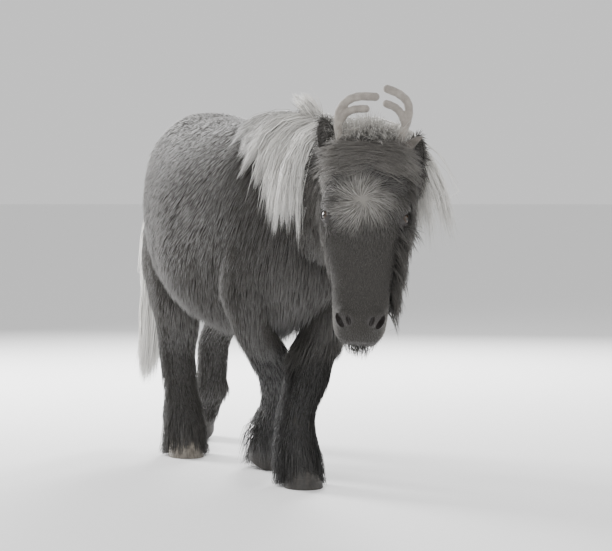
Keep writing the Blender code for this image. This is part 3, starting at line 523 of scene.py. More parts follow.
@dataclass(frozen=True)
class HairFinish:
    """Tufts of hair: darker at the root, with a tone for each tuft and a pale share for the star and other
    pale hair, which also carries painted rim light and painted shade.
    """

    name: str
    root: Colour
    tip: Colour
    pale_root: Colour = (0.20, 0.19, 0.175)
    pale_tip: Colour = (0.60, 0.58, 0.54)
    rough: float = 0.62
    variety: float = 0.42

    def dress(self, *objects: Object) -> None:
        """Gives the tufts their hair colours.

        Args:
            objects: the tufts.
        """
        graph = Graph(self.name)
        along, tone = graph.attribute("along"), graph.attribute("tone")
        pale = graph.attribute("pale")
        dark = graph.mix(along, self.root, self.tip)
        light = graph.mix(along ** 0.6, self.pale_root, self.pale_tip)
        patchy = graph.noise(9.0, 2.0) * 0.3 + 0.85
        colour = graph.shade(graph.mix(pale, dark, light), (1.0 + tone * self.variety) * patchy)
        graph.dress(
            *objects, Base_Color=colour, Roughness=self.rough, Sheen_Weight=0.22, Sheen_Roughness=0.4,
            Specular_IOR_Level=0.35,
        )


@dataclass(frozen=True)
class SkinFinish:
    """Skin under the coat, with the shortest hair as bump and bare skin at lips, nostrils and lids."""

    colour: Colour = (0.038, 0.035, 0.031)
    bare: Colour = (0.022, 0.019, 0.018)
    pale: Colour = (0.30, 0.285, 0.26)

    def dress(self, obj: Object) -> None:
        """Gives the skin its colours and its fine relief.

        Args:
            obj: the skin.
        """
        graph = Graph("pony_skin")
        hairs = graph.noise(260.0, 4.0, (1.0, 1.0, 0.22))
        folds = graph.noise(70.0, 3.0)
        bare = graph.attribute("bare")
        coat = graph.mix(hairs.step(0.3, 0.8), tuple(0.6 * c for c in self.colour), self.colour)
        # The pale share also paints rim light along the sides of the muzzle.
        marked_and_rim_lit = graph.mix(graph.attribute("pale"), coat, self.pale)
        colour = graph.mix(bare, marked_and_rim_lit, graph.mix(folds, self.bare, tuple(1.7 * c for c in self.bare)))
        rough = 0.85 - bare * 0.40
        normal = graph.bump(hairs * (1.0 - bare * 0.7) + folds * bare, 0.6, 0.0016)
        graph.dress(obj, Base_Color=colour, Roughness=rough, Normal=normal)


# Torso stations along the body: y, top z, bottom z, half width.
TORSO: tuple[Row, ...] = (
    (-0.275, 0.800, 0.590, 0.075),
    (-0.225, 0.880, 0.510, 0.130),
    (-0.110, 0.955, 0.440, 0.178),
    (0.060, 0.980, 0.405, 0.212),
    (0.270, 0.978, 0.390, 0.250),
    (0.470, 0.994, 0.430, 0.242),
    (0.640, 1.010, 0.515, 0.208),
    (0.760, 0.955, 0.600, 0.158),
    (0.820, 0.850, 0.700, 0.075),
)
# Neck stations: centre, half width, half height.
NECK: tuple[Row, ...] = (
    (0.000, 0.060, 0.740, 0.135, 0.210),
    (0.004, -0.100, 0.760, 0.132, 0.202),
    (0.020, -0.230, 0.770, 0.118, 0.180),
    (0.048, -0.340, 0.782, 0.106, 0.150),
    (0.072, -0.430, 0.785, 0.092, 0.122),
)
# Head stations: s down the face, front v, back v, half width.
HEAD: tuple[Row, ...] = (
    (-0.004, 0.050, 0.115, 0.042),
    (0.020, 0.012, 0.165, 0.082),
    (0.070, -0.018, 0.195, 0.104),
    (0.130, -0.030, 0.208, 0.111),
    (0.195, -0.022, 0.205, 0.102),
    (0.265, -0.010, 0.185, 0.086),
    (0.335, 0.000, 0.150, 0.074),
    (0.395, 0.000, 0.128, 0.070),
    (0.440, -0.006, 0.122, 0.068),
    (0.480, 0.000, 0.110, 0.060),
    (0.507, 0.022, 0.086, 0.038),
)
# Leg stations from the top down: x outwards, y, z, half width, half length.
LEGS: dict[str, tuple[Side, tuple[Row, ...]]] = {
    "fore_left": (Side.LEFT, (
        (0.115, -0.070, 0.640, 0.070, 0.110),
        (0.110, -0.075, 0.520, 0.076, 0.105),
        (0.088, -0.090, 0.420, 0.068, 0.082),
        (0.050, -0.110, 0.335, 0.061, 0.068),
        (0.030, -0.124, 0.275, 0.058, 0.062),
        (0.002, -0.128, 0.190, 0.050, 0.058),
        (-0.001, -0.130, 0.115, 0.054, 0.066),
        (0.004, -0.148, 0.035, 0.046, 0.050),
    )),
    "fore_right": (Side.RIGHT, (
        (0.115, -0.070, 0.640, 0.070, 0.110),
        (0.110, -0.060, 0.520, 0.076, 0.105),
        (0.086, -0.030, 0.420, 0.062, 0.080),
        (0.036, 0.012, 0.335, 0.051, 0.062),
        (-0.002, 0.050, 0.275, 0.047, 0.056),
        (-0.024, 0.105, 0.205, 0.042, 0.048),
        (-0.024, 0.154, 0.145, 0.045, 0.052),
        (-0.030, 0.184, 0.080, 0.041, 0.042),
        (-0.030, 0.206, 0.050, 0.036, 0.034),
    )),
    "hind_right": (Side.RIGHT, (
        (0.125, 0.600, 0.700, 0.080, 0.155),
        (0.130, 0.590, 0.580, 0.086, 0.160),
        (0.128, 0.570, 0.470, 0.078, 0.128),
        (0.118, 0.585, 0.380, 0.062, 0.090),
        (0.110, 0.612, 0.300, 0.053, 0.068),
        (0.104, 0.590, 0.200, 0.050, 0.052),
        (0.101, 0.568, 0.120, 0.058, 0.062),
        (0.102, 0.548, 0.035, 0.047, 0.050),
    )),
    "hind_left": (Side.LEFT, (
        (0.125, 0.620, 0.700, 0.080, 0.155),
        (0.130, 0.630, 0.580, 0.086, 0.160),
        (0.120, 0.690, 0.470, 0.076, 0.122),
        (0.094, 0.780, 0.385, 0.058, 0.088),
        (0.079, 0.845, 0.315, 0.049, 0.064),
        (0.075, 0.862, 0.215, 0.046, 0.050),
        (0.077, 0.872, 0.160, 0.051, 0.056),
        (0.066, 0.906, 0.105, 0.044, 0.048),
        (0.056, 0.930, 0.080, 0.041, 0.042),
        (0.056, 0.950, 0.052, 0.036, 0.034),
    )),
}
# Hooves: the middle of each coronet, and how far the hoof is tilted onto its toe.
HOOF_PLACES: dict[str, tuple[Point, float]] = {
    "fore_left": ((0.004, -0.152, 0.058), 0.0),
    "fore_right": ((0.030, 0.186, 0.088), 36.0),
    "hind_right": ((-0.108, 0.545, 0.058), 0.0),
    "hind_left": ((0.056, 0.932, 0.089), 40.0),
}
FLESH_NODES = ("torso", "neck", "head", "ear_left", "ear_right", *("leg_" + name for name in LEGS))


@dataclass(frozen=True)
class HeadSpace:
    """The head's own coordinates: u to the pony's left, v back from the face, s down from the poll."""

    origin: Point = (0.047, -0.524, 0.904)
    yaw: float = -20.0
    pitch: float = -6.0
    roll: float = 3.0

    @property
    def matrix(self) -> Matrix:
        """From u, v and minus s to the pony's coordinates.

        Returns:
            The matrix.
        """
        turns = [Matrix.Rotation(math.radians(a), 4, axis)
                 for a, axis in ((self.yaw, "Z"), (self.pitch, "X"), (self.roll, "Y"))]
        return Matrix.Translation(self.origin) @ turns[0] @ turns[1] @ turns[2]

    def point(self, u: float, v: float, s: float) -> Vector:
        """A place on the head in the pony's coordinates."""
        return self.matrix @ Vector((u, v, -s))

    def way(self, u: float, v: float, s: float) -> Vector:
        """A direction on the head in the pony's coordinates."""
        return self.matrix.to_3x3() @ Vector((u, v, -s))

    def turn(self) -> Matrix:
        """The head's rotation alone."""
        return self.matrix.to_3x3().to_4x4()

    def local(self, points: Array) -> Array:
        """The u, v and s of places given in the pony's coordinates.

        Args:
            points: places, N by 3.

        Returns:
            Their u, v and s, N by 3.
        """
        inverse = np.array(self.matrix.inverted())
        found = points @ inverse[:3, :3].T + inverse[:3, 3]
        return found * (1.0, 1.0, -1.0)

    def world(self, ways: Array) -> Array:
        """Directions given as u, v and s in the pony's coordinates."""
        return (ways * (1.0, 1.0, -1.0)) @ np.array(self.matrix)[:3, :3].T


@dataclass(frozen=True)
class Relief:
    """A soft rise or hollow on both sides of the face: middle, radii and height in head coordinates."""

    middle: Point
    radii: Point
    height: float


@dataclass
class Skin:
    """The pony's one skin, from poll to pasterns, with its ears, lids, nostrils and lips."""

    head: HeadSpace
    voxel: float = 0.0045
    smoothing: int = 26
    sides: int = 40
    steps: int = 6
    widest_share: float = 0.46
    body_depth: float = 0.013
    leg_depth: float = 0.007
    face_depth: float = 0.0015
    triangles: int = 185_000
    bulges: tuple[tuple[Point, Point], ...] = (
        ((0.062, 0.130, 0.165), (0.044, 0.066, 0.078)),
        ((0.072, 0.020, 0.166), (0.036, 0.042, 0.034)),
        ((0.034, 0.010, 0.444), (0.028, 0.027, 0.034)),
        ((0.000, 0.084, 0.478), (0.036, 0.028, 0.028)),
    )
    relief: tuple[Relief, ...] = (
        Relief((0.078, 0.050, 0.262), (0.016, 0.040, 0.050), 0.004),
        Relief((0.066, 0.020, 0.262), (0.020, 0.030, 0.046), -0.004),
        Relief((0.086, 0.052, 0.140), (0.024, 0.026, 0.020), -0.005),
        Relief((0.088, 0.020, 0.174), (0.020, 0.020, 0.010), 0.0035),
        Relief((0.092, 0.040, 0.226), (0.020, 0.026, 0.010), 0.0025),
        Relief((0.050, 0.030, 0.370), (0.018, 0.030, 0.030), -0.004),
        Relief((0.000, -0.006, 0.330), (0.024, 0.020, 0.080), 0.002),
        Relief((0.014, -0.010, 0.460), (0.008, 0.016, 0.024), -0.003),
        Relief((0.046, 0.004, 0.436), (0.016, 0.018, 0.014), 0.005),
        Relief((0.036, 0.052, 0.464), (0.020, 0.020, 0.008), 0.002),
        Relief((0.020, 0.064, 0.498), (0.024, 0.020, 0.010), 0.002),
    )
    eye_place: Point = (0.0865, 0.030, 0.197)
    eye_gaze: float = 30.0
    eye_radius: float = 0.0185
    lid_radius: float = 0.0222
    eye_opening: tuple[float, float] = (0.0175, 0.0115)
    slits: tuple[tuple[Point, Point, Point, Point], ...] = (
        ((0.050, -0.003, 0.451), (0.62, -0.78, -0.06), (0.62, 0.0, 1.0), (0.0102, 0.0175, 0.020)),
        ((0.0275, -0.013, 0.453), (0.20, -0.98, -0.06), (0.36, 0.0, 1.0), (0.0056, 0.0110, 0.015)),
    )
    mouth_middle: Point = (0.0, 0.072, 0.466)
    mouth_front: Point = (0.0, 0.034, 0.503)
    ear_bases: dict[Side, Point] = field(default_factory=lambda: {
        Side.LEFT: (0.100, 0.060, 0.086), Side.RIGHT: (0.082, 0.074, 0.052)})
    ear_tilts: dict[Side, tuple[float, float]] = field(default_factory=lambda: {
        Side.LEFT: (13.0, -6.0), Side.RIGHT: (20.0, 6.0)})
    ear_turn_out: float = 28.0
    ear: tuple[Row, ...] = (
        (-0.020, 0.026, 0.022),
        (0.012, 0.030, 0.022),
        (0.045, 0.031, 0.019),
        (0.075, 0.024, 0.014),
        (0.098, 0.012, 0.008),
        (0.108, 0.003, 0.003),
    )

    def torso_form(self) -> Object:
        """The barrel, from breast to buttocks.

        Returns:
            The closed form.
        """
        rings = []
        for y, top, bottom, half in smooth_rows(TORSO, self.steps):
            middle = bottom + self.widest_share * (top - bottom)
            rings.append([(c * half, y, middle + s * (top - middle if s > 0 else middle - bottom))
                          for c, s in oval(self.sides, 0.9)])
        return loft("torso_form", rings)

    def neck_form(self) -> Object:
        """The neck, in sections square to its line.

        Returns:
            The closed form.
        """
        rows = smooth_rows(NECK, self.steps)
        rings = []
        for i, (x, y, z, wide, high) in enumerate(rows):
            along = Vector(rows[min(i + 1, len(rows) - 1)][:3]) - Vector(rows[max(i - 1, 0)][:3])
            side = Vector((0, 0, 1)).cross(along).normalized()
            up = along.cross(side).normalized()
            rings.append([Vector((x, y, z)) + side * (c * wide) + up * (s * high)
                          for c, s in oval(self.sides, 0.95)])
        return loft("neck_form", rings)

    def head_form(self) -> Object:
        """Skull, face and muzzle.

        Returns:
            The closed form.
        """
        rings = []
        for s, front, back, half in smooth_rows(HEAD, self.steps):
            middle = front + 0.42 * (back - front)
            ring = [(c * half, middle + k * (back - middle if k > 0 else middle - front))
                    for c, k in oval(self.sides, 0.82)]
            rings.append([self.head.point(across, v, s) for across, v in ring])
        return loft("head_form", rings)

    def leg_forms(self) -> list[Object]:
        """The four legs, from shoulder or haunch down to inside the hoof.

        Returns:
            The closed forms.
        """
        made = []
        for name, (side, stations) in LEGS.items():
            rings = [[(side.value * x + c * wide, y + s * long, z) for c, s in oval(28, 0.9)]
                     for x, y, z, wide, long in smooth_rows(stations, self.steps)]
            made.append(loft("leg_form_" + name, rings))
        return made

    def bulge_forms(self) -> list[Object]:
        """Cheeks, brows, nostril wings and chin.

        Returns:
            The closed forms.
        """
        made = []
        for (u, v, s), radii in self.bulges:
            for side in Side:
                place = Matrix.Translation(self.head.point(side.value * u, v, s)) @ self.head.turn()
                made.append(ball("bulge", place, radii))
        return made

    def sink(self, obj: Object) -> None:
        """Moves the fused form in by the coat's depth and gives the face its relief.

        Args:
            obj: the fused form, with the coat's depth still in it.
        """
        points, normals = mesh_arrays(obj)
        face = self.head.local(points)
        on_head = head_share(points)
        depth = self.body_depth + (self.leg_depth - self.body_depth) * ramp(0.46, 0.32, points[:, 2])
        jaw = ramp(0.06, 0.15, face[:, 1]) * 0.008
        depth = depth * (1 - on_head) + (self.face_depth + jaw) * on_head
        moved = points - normals * depth[:, None]
        rise = np.zeros(len(points))
        for form in self.relief:
            for side in Side:
                middle = np.array(form.middle) * (side.value, 1.0, 1.0)
                gap = ((face - middle) / np.array(form.radii)) ** 2
                share = 0.5 if form.middle[0] == 0.0 else 1.0
                rise += form.height * share * np.exp(-gap.sum(axis=1))
        moved += normals * (rise * ramp(0.4, 0.8, on_head))[:, None]
        obj.data.vertices.foreach_set("co", moved.ravel())
        obj.data.update()

    def eye_frame(self, side: Side) -> tuple[Vector, Matrix]:
        """The middle and turn of an eye.

        Args:
            side: which eye.

        Returns:
            Its middle, and a rotation whose Z looks out and a little forwards.
        """
        u, v, s = self.eye_place
        gaze = math.radians(self.eye_gaze)
        way = self.head.turn() @ Vector((side.value * math.cos(gaze), -math.sin(gaze), 0.02))
        up = self.head.turn() @ Vector((side.value * 0.10, 0.0, 1.0))
        return self.head.point(side.value * u, v, s), turned_to(way, up)

    def open_eyes(self, obj: Object) -> None:
        """Builds the lids and opens them over the sockets.

        Args:
            obj: the skin.
        """
        for side in Side:
            middle, turn = self.eye_frame(side)
            place = Matrix.Translation(middle) @ turn
            boolean(obj, "UNION", ball("lids", place, (self.lid_radius,) * 3, 5))
            boolean(obj, "DIFFERENCE", ball("socket", place, (self.eye_radius + 0.0006,) * 3, 5))
            rings = []
            for z, share in ((0.004, 0.92), (0.0195, 1.0), (0.030, 1.5)):
                ring = [(x * self.eye_opening[0] * share,
                         y * self.eye_opening[1] * share * (1.0 - 0.35 * x * x), z) for x, y in oval(36, 1.0)]
                rings.append([middle + turn @ Vector(point) for point in ring])
            boolean(obj, "DIFFERENCE", loft("opening", rings))

    def cut_nostrils(self, obj: Object) -> None:
        """Sinks two slits with a fold between them on each side of the muzzle.

        Args:
            obj: the skin.
        """
        for side in Side:
            for (u, v, s), gaze, lean, radii in self.slits:
                way = self.head.way(side.value * gaze[0], gaze[1], gaze[2])
                up = self.head.turn() @ Vector((side.value * lean[0], lean[1], lean[2]))
                place = Matrix.Translation(self.head.point(side.value * u, v, s)) @ turned_to(way, up)
                boolean(obj, "DIFFERENCE", ball("slit", place, (radii[0], radii[2], radii[1])))

    def cut_mouth(self, obj: Object) -> None:
        """Cuts the line between the lips.

        Args:
            obj: the skin.
        """
        tree = surface_tree(obj)
        middle = self.head.point(*self.mouth_middle)
        front = (self.head.point(*self.mouth_front) - middle).normalized()
        across = self.head.turn() @ Vector((1.0, 0.0, 0.0))
        normal = across.cross(front).normalized()
        rings = []
        for i in range(33):
            angle = math.radians(100) * (i / 16 - 1)
            way = front * math.cos(angle) + across * math.sin(angle)
            hit = tree.ray_cast(middle + way * 0.2, -way)[0]
            depth = 0.0045 * (1.0 if 0 < i < 32 else 0.3)
            outside = hit + way * 0.006
            rings.append([hit - way * depth, outside + normal * 0.0030, outside - normal * 0.0030])
        boolean(obj, "DIFFERENCE", loft("lips", rings))

    def ear_frame(self, side: Side) -> tuple[Vector, Matrix]:
        """The base and turn of an ear.

        Args:
            side: which ear.

        Returns:
            The middle of its base, and a rotation whose Z runs to the tip and whose -Y faces the opening.
        """
        out, forward = (math.radians(a) for a in self.ear_tilts[side])
        tilt = self.head.turn() @ Matrix.Rotation(side.value * out, 4, "Y") @ Matrix.Rotation(forward, 4, "X")
        u, v, s = self.ear_bases[side]
        turn = tilt @ Matrix.Rotation(side.value * math.radians(self.ear_turn_out), 4, "Z")
        return self.head.point(side.value * u, v, s), turn

    def add_ears(self, obj: Object) -> None:
        """Joins the two cupped ears to the skin.

        Args:
            obj: the skin.
        """
        for side in Side:
            middle, turn = self.ear_frame(side)
            rows = smooth_rows(self.ear, 4)
            outer, cup = [], []
            for z, wide, deep in rows[:-1]:
                ring = [(x * (wide - 0.0015), y * (deep - 0.0015), z) for x, y in oval(28)]
                outer.append([middle + turn @ Vector(point) for point in ring])
            for z, wide, deep in rows[6:-2]:
                inner_wide, inner_deep = max(wide - 0.0050, 0.001), max(deep - 0.0050, 0.001)
                ring = [(x * inner_wide, y * inner_deep - 0.0068, z) for x, y in oval(28)]
                cup.append([middle + turn @ Vector(point) for point in ring])
            shell = boolean(loft("ear_form", outer), "DIFFERENCE", loft("ear_cup", cup))
            boolean(obj, "UNION", shell)

    def thin_body(self, obj: Object) -> None:
        """Makes the faces under the long coat larger, and leaves the head as it is.

        Args:
            obj: the skin.
        """
        group = obj.vertex_groups.new(name="long_coat")
        points, _ = mesh_arrays(obj)
        body = head_share(points) < 0.02
        group.add([int(i) for i in np.nonzero(body)[0]], 1.0, "REPLACE")
        decimate = obj.modifiers.new("thin", "DECIMATE")
        triangles = sum(len(f.vertices) - 2 for f in obj.data.polygons)
        decimate.ratio = min(1.0, self.triangles / triangles)
        decimate.vertex_group = group.name
        apply_modifiers(obj)
        obj.vertex_groups.clear()

    def soften(self, obj: Object) -> None:
        """Smooths the skin where lids, nostrils, lips and ears join it.

        Args:
            obj: the skin.
        """
        points, _ = mesh_arrays(obj)
        near = np.zeros(len(points), bool)
        for side in Side:
            middle, turn = self.eye_frame(side)
            out = np.array(turn.to_3x3())[:, 2]
            gap = points - np.array(middle)
            far = np.linalg.norm(gap, axis=1)
            near |= (far < 0.033) & ((far > 0.0228) | (gap @ out < 0.006))
            base, _ = self.ear_frame(side)
            far = np.linalg.norm(points - np.array(base), axis=1)
            near |= (far > 0.018) & (far < 0.040)
            for (u, v, s), _, _, radii in self.slits:
                rim = np.linalg.norm(points - np.array(self.head.point(side.value * u, v, s)), axis=1)
                near |= rim < radii[1] + 0.006
        bm = bmesh.new()
        bm.from_mesh(obj.data)
        bm.verts.ensure_lookup_table()
        chosen = [bm.verts[int(i)] for i in np.nonzero(near)[0]]
        axes = dict.fromkeys(("use_axis_x", "use_axis_y", "use_axis_z"), True)
        for _ in range(4):
            bmesh.ops.smooth_vert(bm, verts=chosen, factor=0.5, **axes)
        bm.to_mesh(obj.data)
        bm.free()

    def build(self) -> Object:
        """Fuses the forms, sinks the skin under the coat and shapes the face.

        Returns:
            The finished skin.
        """
        forms = [self.torso_form(), self.neck_form(), self.head_form()]
        forms += [*self.leg_forms(), *self.bulge_forms()]
        obj = fused(joined(forms, "pony_skin"), self.voxel, self.smoothing)
        self.sink(obj)
        self.open_eyes(obj)
        self.cut_nostrils(obj)
        self.cut_mouth(obj)
        self.add_ears(obj)
        self.soften(obj)
        self.thin_body(obj)
        obj.data.polygons.foreach_set("use_smooth", np.ones(len(obj.data.polygons), bool))
        return obj


def mesh_arrays(obj: Object) -> tuple[Array, Array]:
    """The object's points and their normals, N by 3.

    Args:
        obj: a mesh.

    Returns:
        Its points, and their normals.
    """
    mesh = obj.data
    points = np.empty(len(mesh.vertices) * 3, np.float32)
    mesh.vertices.foreach_get("co", points)
    normals = np.empty(len(mesh.vertices) * 3, np.float32)
    mesh.vertex_normals.foreach_get("vector", normals)
    return points.reshape(-1, 3).astype(float), normals.reshape(-1, 3).astype(float)


def surface_tree(obj: Object) -> BVHTree:
    """A search tree of the object's surface.

    Args:
        obj: a mesh.

    Returns:
        The tree.
    """
    bm = bmesh.new()
    bm.from_mesh(obj.data)
    tree = BVHTree.FromBMesh(bm)
    bm.free()
    return tree


def head_share(points: Array) -> Array:
    """How far a place belongs to the head, from 0 on the neck to 1."""
    gap = (points - (0.075, -0.330, 0.800)) @ np.array((-0.238, -0.956, -0.174))
    return ramp(-0.03, 0.05, gap)


@dataclass
class Markings:
    """The pony's colours by place: a pale star on the forehead, painted rim light along the sides of the
    muzzle, and darker legs.
    """

    head: HeadSpace
    star: Point = (-0.011, -0.030, 0.158)

    def pale(self, points: Array) -> Array:
        """How pale the hair that grows at a place is, from 0 to 1.

        Args:
            points: places on the skin, N by 3.

        Returns:
            One number for each.
        """
        face = self.head.local(points)
        across, down = face[:, 0] - self.star[0], face[:, 2] - self.star[2]
        angle = np.arctan2(down, across)
        rays = 1.0 + 0.16 * np.sin(3 * angle + 0.9) + 0.12 * np.sin(7 * angle + 2.0)
        rays = rays + 0.08 * np.sin(12 * angle)
        far = np.hypot(across / 1.10, down * np.where(down > 0, 0.90, 1.25)) / rays
        star = (1.0 - ramp(0.004, 0.080, far)) * (face[:, 1] < 0.05)
        # rim: the sides of the muzzle are made paler as painted rim light.
        low, aside = ramp(0.400, 0.450, face[:, 2]), ramp(0.042, 0.062, np.abs(face[:, 0]))
        rim = low * aside * ramp(0.0, 0.03, face[:, 1])
        return np.clip(0.62 * star + 0.24 * rim * head_share(points), 0.0, 1.0)

    def shade(self, points: Array) -> Array:
        """How much darker or lighter the dark coat is at a place, about -1 to 1.

        Args:
            points: places on the skin, N by 3.

        Returns:
            One number for each.
        """
        face = head_share(points)
        legs = ramp(0.46, 0.30, points[:, 2])
        flank = ramp(-0.25, 0.10, points[:, 1]) * (1 - legs)
        front = legs * ramp(0.35, 0.10, points[:, 1])
        belly = ramp(0.75, 0.55, points[:, 2]) * (1 - legs) * (1 - face)
        mottle = 0.12 * ripple(points, 0.10, 5)[:, 0]
        return 0.20 * flank + 0.25 * belly - 0.70 * legs - 1.15 * front + 0.50 * face + mottle

    def bare(self, points: Array, skin: Skin) -> Array:
        """How bare the skin is, from 0 in the coat to 1 in nostrils, on lips and on lids.

        Args:
            points: places on the skin, N by 3.
            skin: where its openings are.

        Returns:
            One number for each.
        """
        face = self.head.local(points)
        mirrored = face * np.where(face[:, :1] < 0, (-1.0, 1.0, 1.0), (1.0, 1.0, 1.0))
        found = np.zeros(len(points))
        for middle, _, _, radii in skin.slits:
            gap = np.linalg.norm(mirrored - np.array(middle), axis=1)
            found = np.maximum(found, 1.0 - ramp(radii[2] * 0.7, radii[2] * 1.25, gap))
        gap = np.linalg.norm(mirrored - np.array(skin.eye_place), axis=1)
        found = np.maximum(found, 1.0 - ramp(0.0225, 0.0245, gap))
        lips = ramp(0.496, 0.504, face[:, 2]) * head_share(points)
        return np.clip(np.maximum(found, lips), 0.0, 1.0)


# The lie of the coat.


@dataclass(frozen=True)
class Post:
    """A place where the coat's lie, length and lift are known, the same on both sides."""

    place: Point
    way: Point
    length: float
    lift: float = 16.0


BODY_POSTS: tuple[Post, ...] = (
    Post((0.040, -0.020, 0.975), (0.50, 0.90, -0.10), 0.045),
    Post((0.040, 0.200, 0.975), (0.25, 1.00, -0.10), 0.040),
    Post((0.040, 0.400, 0.985), (0.20, 1.00, -0.10), 0.040, 20.0),
    Post((0.040, 0.600, 1.005), (0.15, 1.00, -0.15), 0.042, 22.0),
    Post((0.060, 0.740, 0.955), (0.15, 0.80, -0.60), 0.040),
    Post((0.150, 0.060, 0.900), (0.40, 0.80, -0.45), 0.042),
    Post((0.170, 0.300, 0.910), (0.40, 0.85, -0.40), 0.042),
    Post((0.160, 0.520, 0.920), (0.35, 0.80, -0.50), 0.042),
    Post((0.110, 0.720, 0.880), (0.25, 0.60, -0.90), 0.042),
    Post((0.185, -0.080, 0.760), (0.15, 0.45, -0.90), 0.046),
    Post((0.215, 0.100, 0.740), (0.10, 0.70, -0.65), 0.048),
    Post((0.250, 0.300, 0.700), (0.05, 0.75, -0.70), 0.050),
    Post((0.240, 0.500, 0.720), (0.05, 0.65, -0.80), 0.048),
    Post((0.180, 0.680, 0.740), (0.05, 0.35, -1.00), 0.046),
    Post((0.080, 0.810, 0.760), (0.30, 0.20, -1.00), 0.048),
    Post((0.200, 0.050, 0.560), (-0.10, 0.40, -1.00), 0.055),
    Post((0.225, 0.280, 0.520), (-0.10, 0.55, -0.90), 0.060, 20.0),
    Post((0.215, 0.470, 0.570), (-0.05, 0.45, -1.00), 0.055, 18.0),
    Post((0.210, 0.600, 0.560), (0.00, 0.25, -1.00), 0.045),
    Post((0.120, 0.780, 0.600), (0.05, 0.10, -1.00), 0.048),
    Post((0.120, 0.180, 0.400), (-0.20, 0.60, -0.60), 0.062, 24.0),
    Post((0.000, 0.250, 0.385), (0.00, 0.90, -0.50), 0.058, 24.0),
    Post((0.100, 0.420, 0.430), (-0.15, 0.60, -0.60), 0.060, 24.0),
    Post((0.040, -0.265, 0.720), (0.20, 0.10, -1.00), 0.060, 20.0),
    Post((0.060, -0.255, 0.600), (0.15, 0.10, -1.00), 0.062, 20.0),
    Post((0.140, -0.190, 0.640), (0.20, 0.35, -1.00), 0.052),
    Post((0.050, -0.150, 0.460), (0.05, 0.25, -1.00), 0.085, 16.0),
    Post((0.010, -0.100, 0.440), (0.00, 0.10, -1.00), 0.105, 14.0),
    Post((0.035, -0.080, 0.410), (0.00, 0.05, -1.00), 0.080, 20.0),
    Post((0.120, -0.180, 0.500), (0.05, 0.15, -1.00), 0.048),
    Post((0.190, -0.050, 0.480), (0.00, 0.30, -1.00), 0.048),
    Post((0.130, -0.160, 0.860), (0.30, 0.35, -0.90), 0.050),
    Post((0.150, -0.280, 0.760), (0.15, 0.35, -1.00), 0.056),
    Post((0.100, -0.330, 0.660), (0.05, 0.25, -1.00), 0.065, 22.0),
    Post((0.030, -0.330, 0.610), (0.00, 0.25, -1.00), 0.070, 24.0),
    Post((0.070, -0.110, 0.340), (0.00, 0.00, -1.00), 0.036, 14.0),
    Post((0.020, -0.130, 0.190), (0.00, 0.00, -1.00), 0.034, 14.0),
    Post((0.020, -0.140, 0.080), (0.00, 0.00, -1.00), 0.050, 12.0),
    Post((-0.020, 0.110, 0.200), (0.00, 0.00, -1.00), 0.034, 14.0),
    Post((-0.030, 0.180, 0.100), (0.00, 0.00, -1.00), 0.046, 12.0),
    Post((0.120, 0.600, 0.340), (0.00, 0.00, -1.00), 0.038, 14.0),
    Post((0.100, 0.580, 0.190), (0.00, 0.00, -1.00), 0.034, 14.0),
    Post((0.100, 0.550, 0.080), (0.00, 0.00, -1.00), 0.050, 12.0),
    Post((0.090, 0.830, 0.330), (0.00, 0.00, -1.00), 0.038, 14.0),
    Post((0.070, 0.870, 0.190), (0.00, 0.00, -1.00), 0.034, 14.0),
    Post((0.060, 0.920, 0.100), (0.00, 0.00, -1.00), 0.046, 12.0),
)
# The same on the head, in head coordinates.
HEAD_POSTS: tuple[Post, ...] = (
    Post((0.000, 0.020, 0.020), (0.20, 1.00, -0.30), 0.026, 20.0),
    Post((0.040, 0.000, 0.060), (0.40, 0.60, -0.60), 0.020, 16.0),
    Post((0.090, 0.050, 0.080), (0.60, 0.90, -0.10), 0.022, 18.0),
    Post((0.100, 0.110, 0.110), (0.30, 1.00, 0.40), 0.034, 22.0),
    Post((0.095, 0.040, 0.150), (0.60, 0.60, 0.10), 0.014, 14.0),
    Post((0.060, -0.020, 0.190), (0.40, 0.10, 0.90), 0.012, 14.0),
    Post((0.000, -0.018, 0.240), (0.00, 0.00, 1.00), 0.011, 14.0),
    Post((0.000, -0.005, 0.320), (0.00, 0.05, 1.00), 0.009, 13.0),
    Post((0.000, -0.004, 0.400), (0.15, 0.05, 1.00), 0.007, 12.0),
    Post((0.000, -0.005, 0.455), (0.15, 0.15, 1.00), 0.005, 12.0),
    Post((0.060, 0.020, 0.270), (0.05, 0.30, 1.00), 0.010, 13.0),
    Post((0.052, 0.025, 0.350), (0.05, 0.35, 1.00), 0.009, 13.0),
    Post((0.052, 0.030, 0.410), (0.20, 0.40, 0.90), 0.007, 13.0),
    Post((0.050, 0.060, 0.450), (0.20, 0.60, 0.80), 0.008, 14.0),
    Post((0.030, 0.050, 0.485), (0.30, 0.40, 0.80), 0.009, 20.0),
    Post((0.020, 0.095, 0.490), (0.10, 0.60, 0.70), 0.016, 26.0),
    Post((0.030, 0.115, 0.440), (0.05, 0.60, 0.80), 0.024, 26.0),
    Post((0.050, 0.110, 0.380), (0.05, 0.45, 1.00), 0.026, 22.0),
    Post((0.095, 0.070, 0.215), (0.10, 0.45, 1.00), 0.016, 14.0),
    Post((0.080, 0.090, 0.280), (0.05, 0.45, 1.00), 0.022, 16.0),
    Post((0.105, 0.130, 0.170), (0.10, 0.50, 1.00), 0.038, 22.0),
    Post((0.085, 0.170, 0.240), (0.05, 0.45, 1.00), 0.050, 26.0),
    Post((0.055, 0.155, 0.320), (0.00, 0.40, 1.00), 0.050, 28.0),
    Post((0.000, 0.150, 0.330), (0.00, 0.50, 1.00), 0.050, 28.0),
    Post((0.000, 0.190, 0.250), (0.00, 0.60, 1.00), 0.056, 26.0),
    Post((0.070, 0.160, 0.060), (0.30, 1.00, 0.40), 0.045, 20.0),
    Post((0.105, 0.170, 0.130), (0.10, 0.90, 0.60), 0.045, 22.0),
)


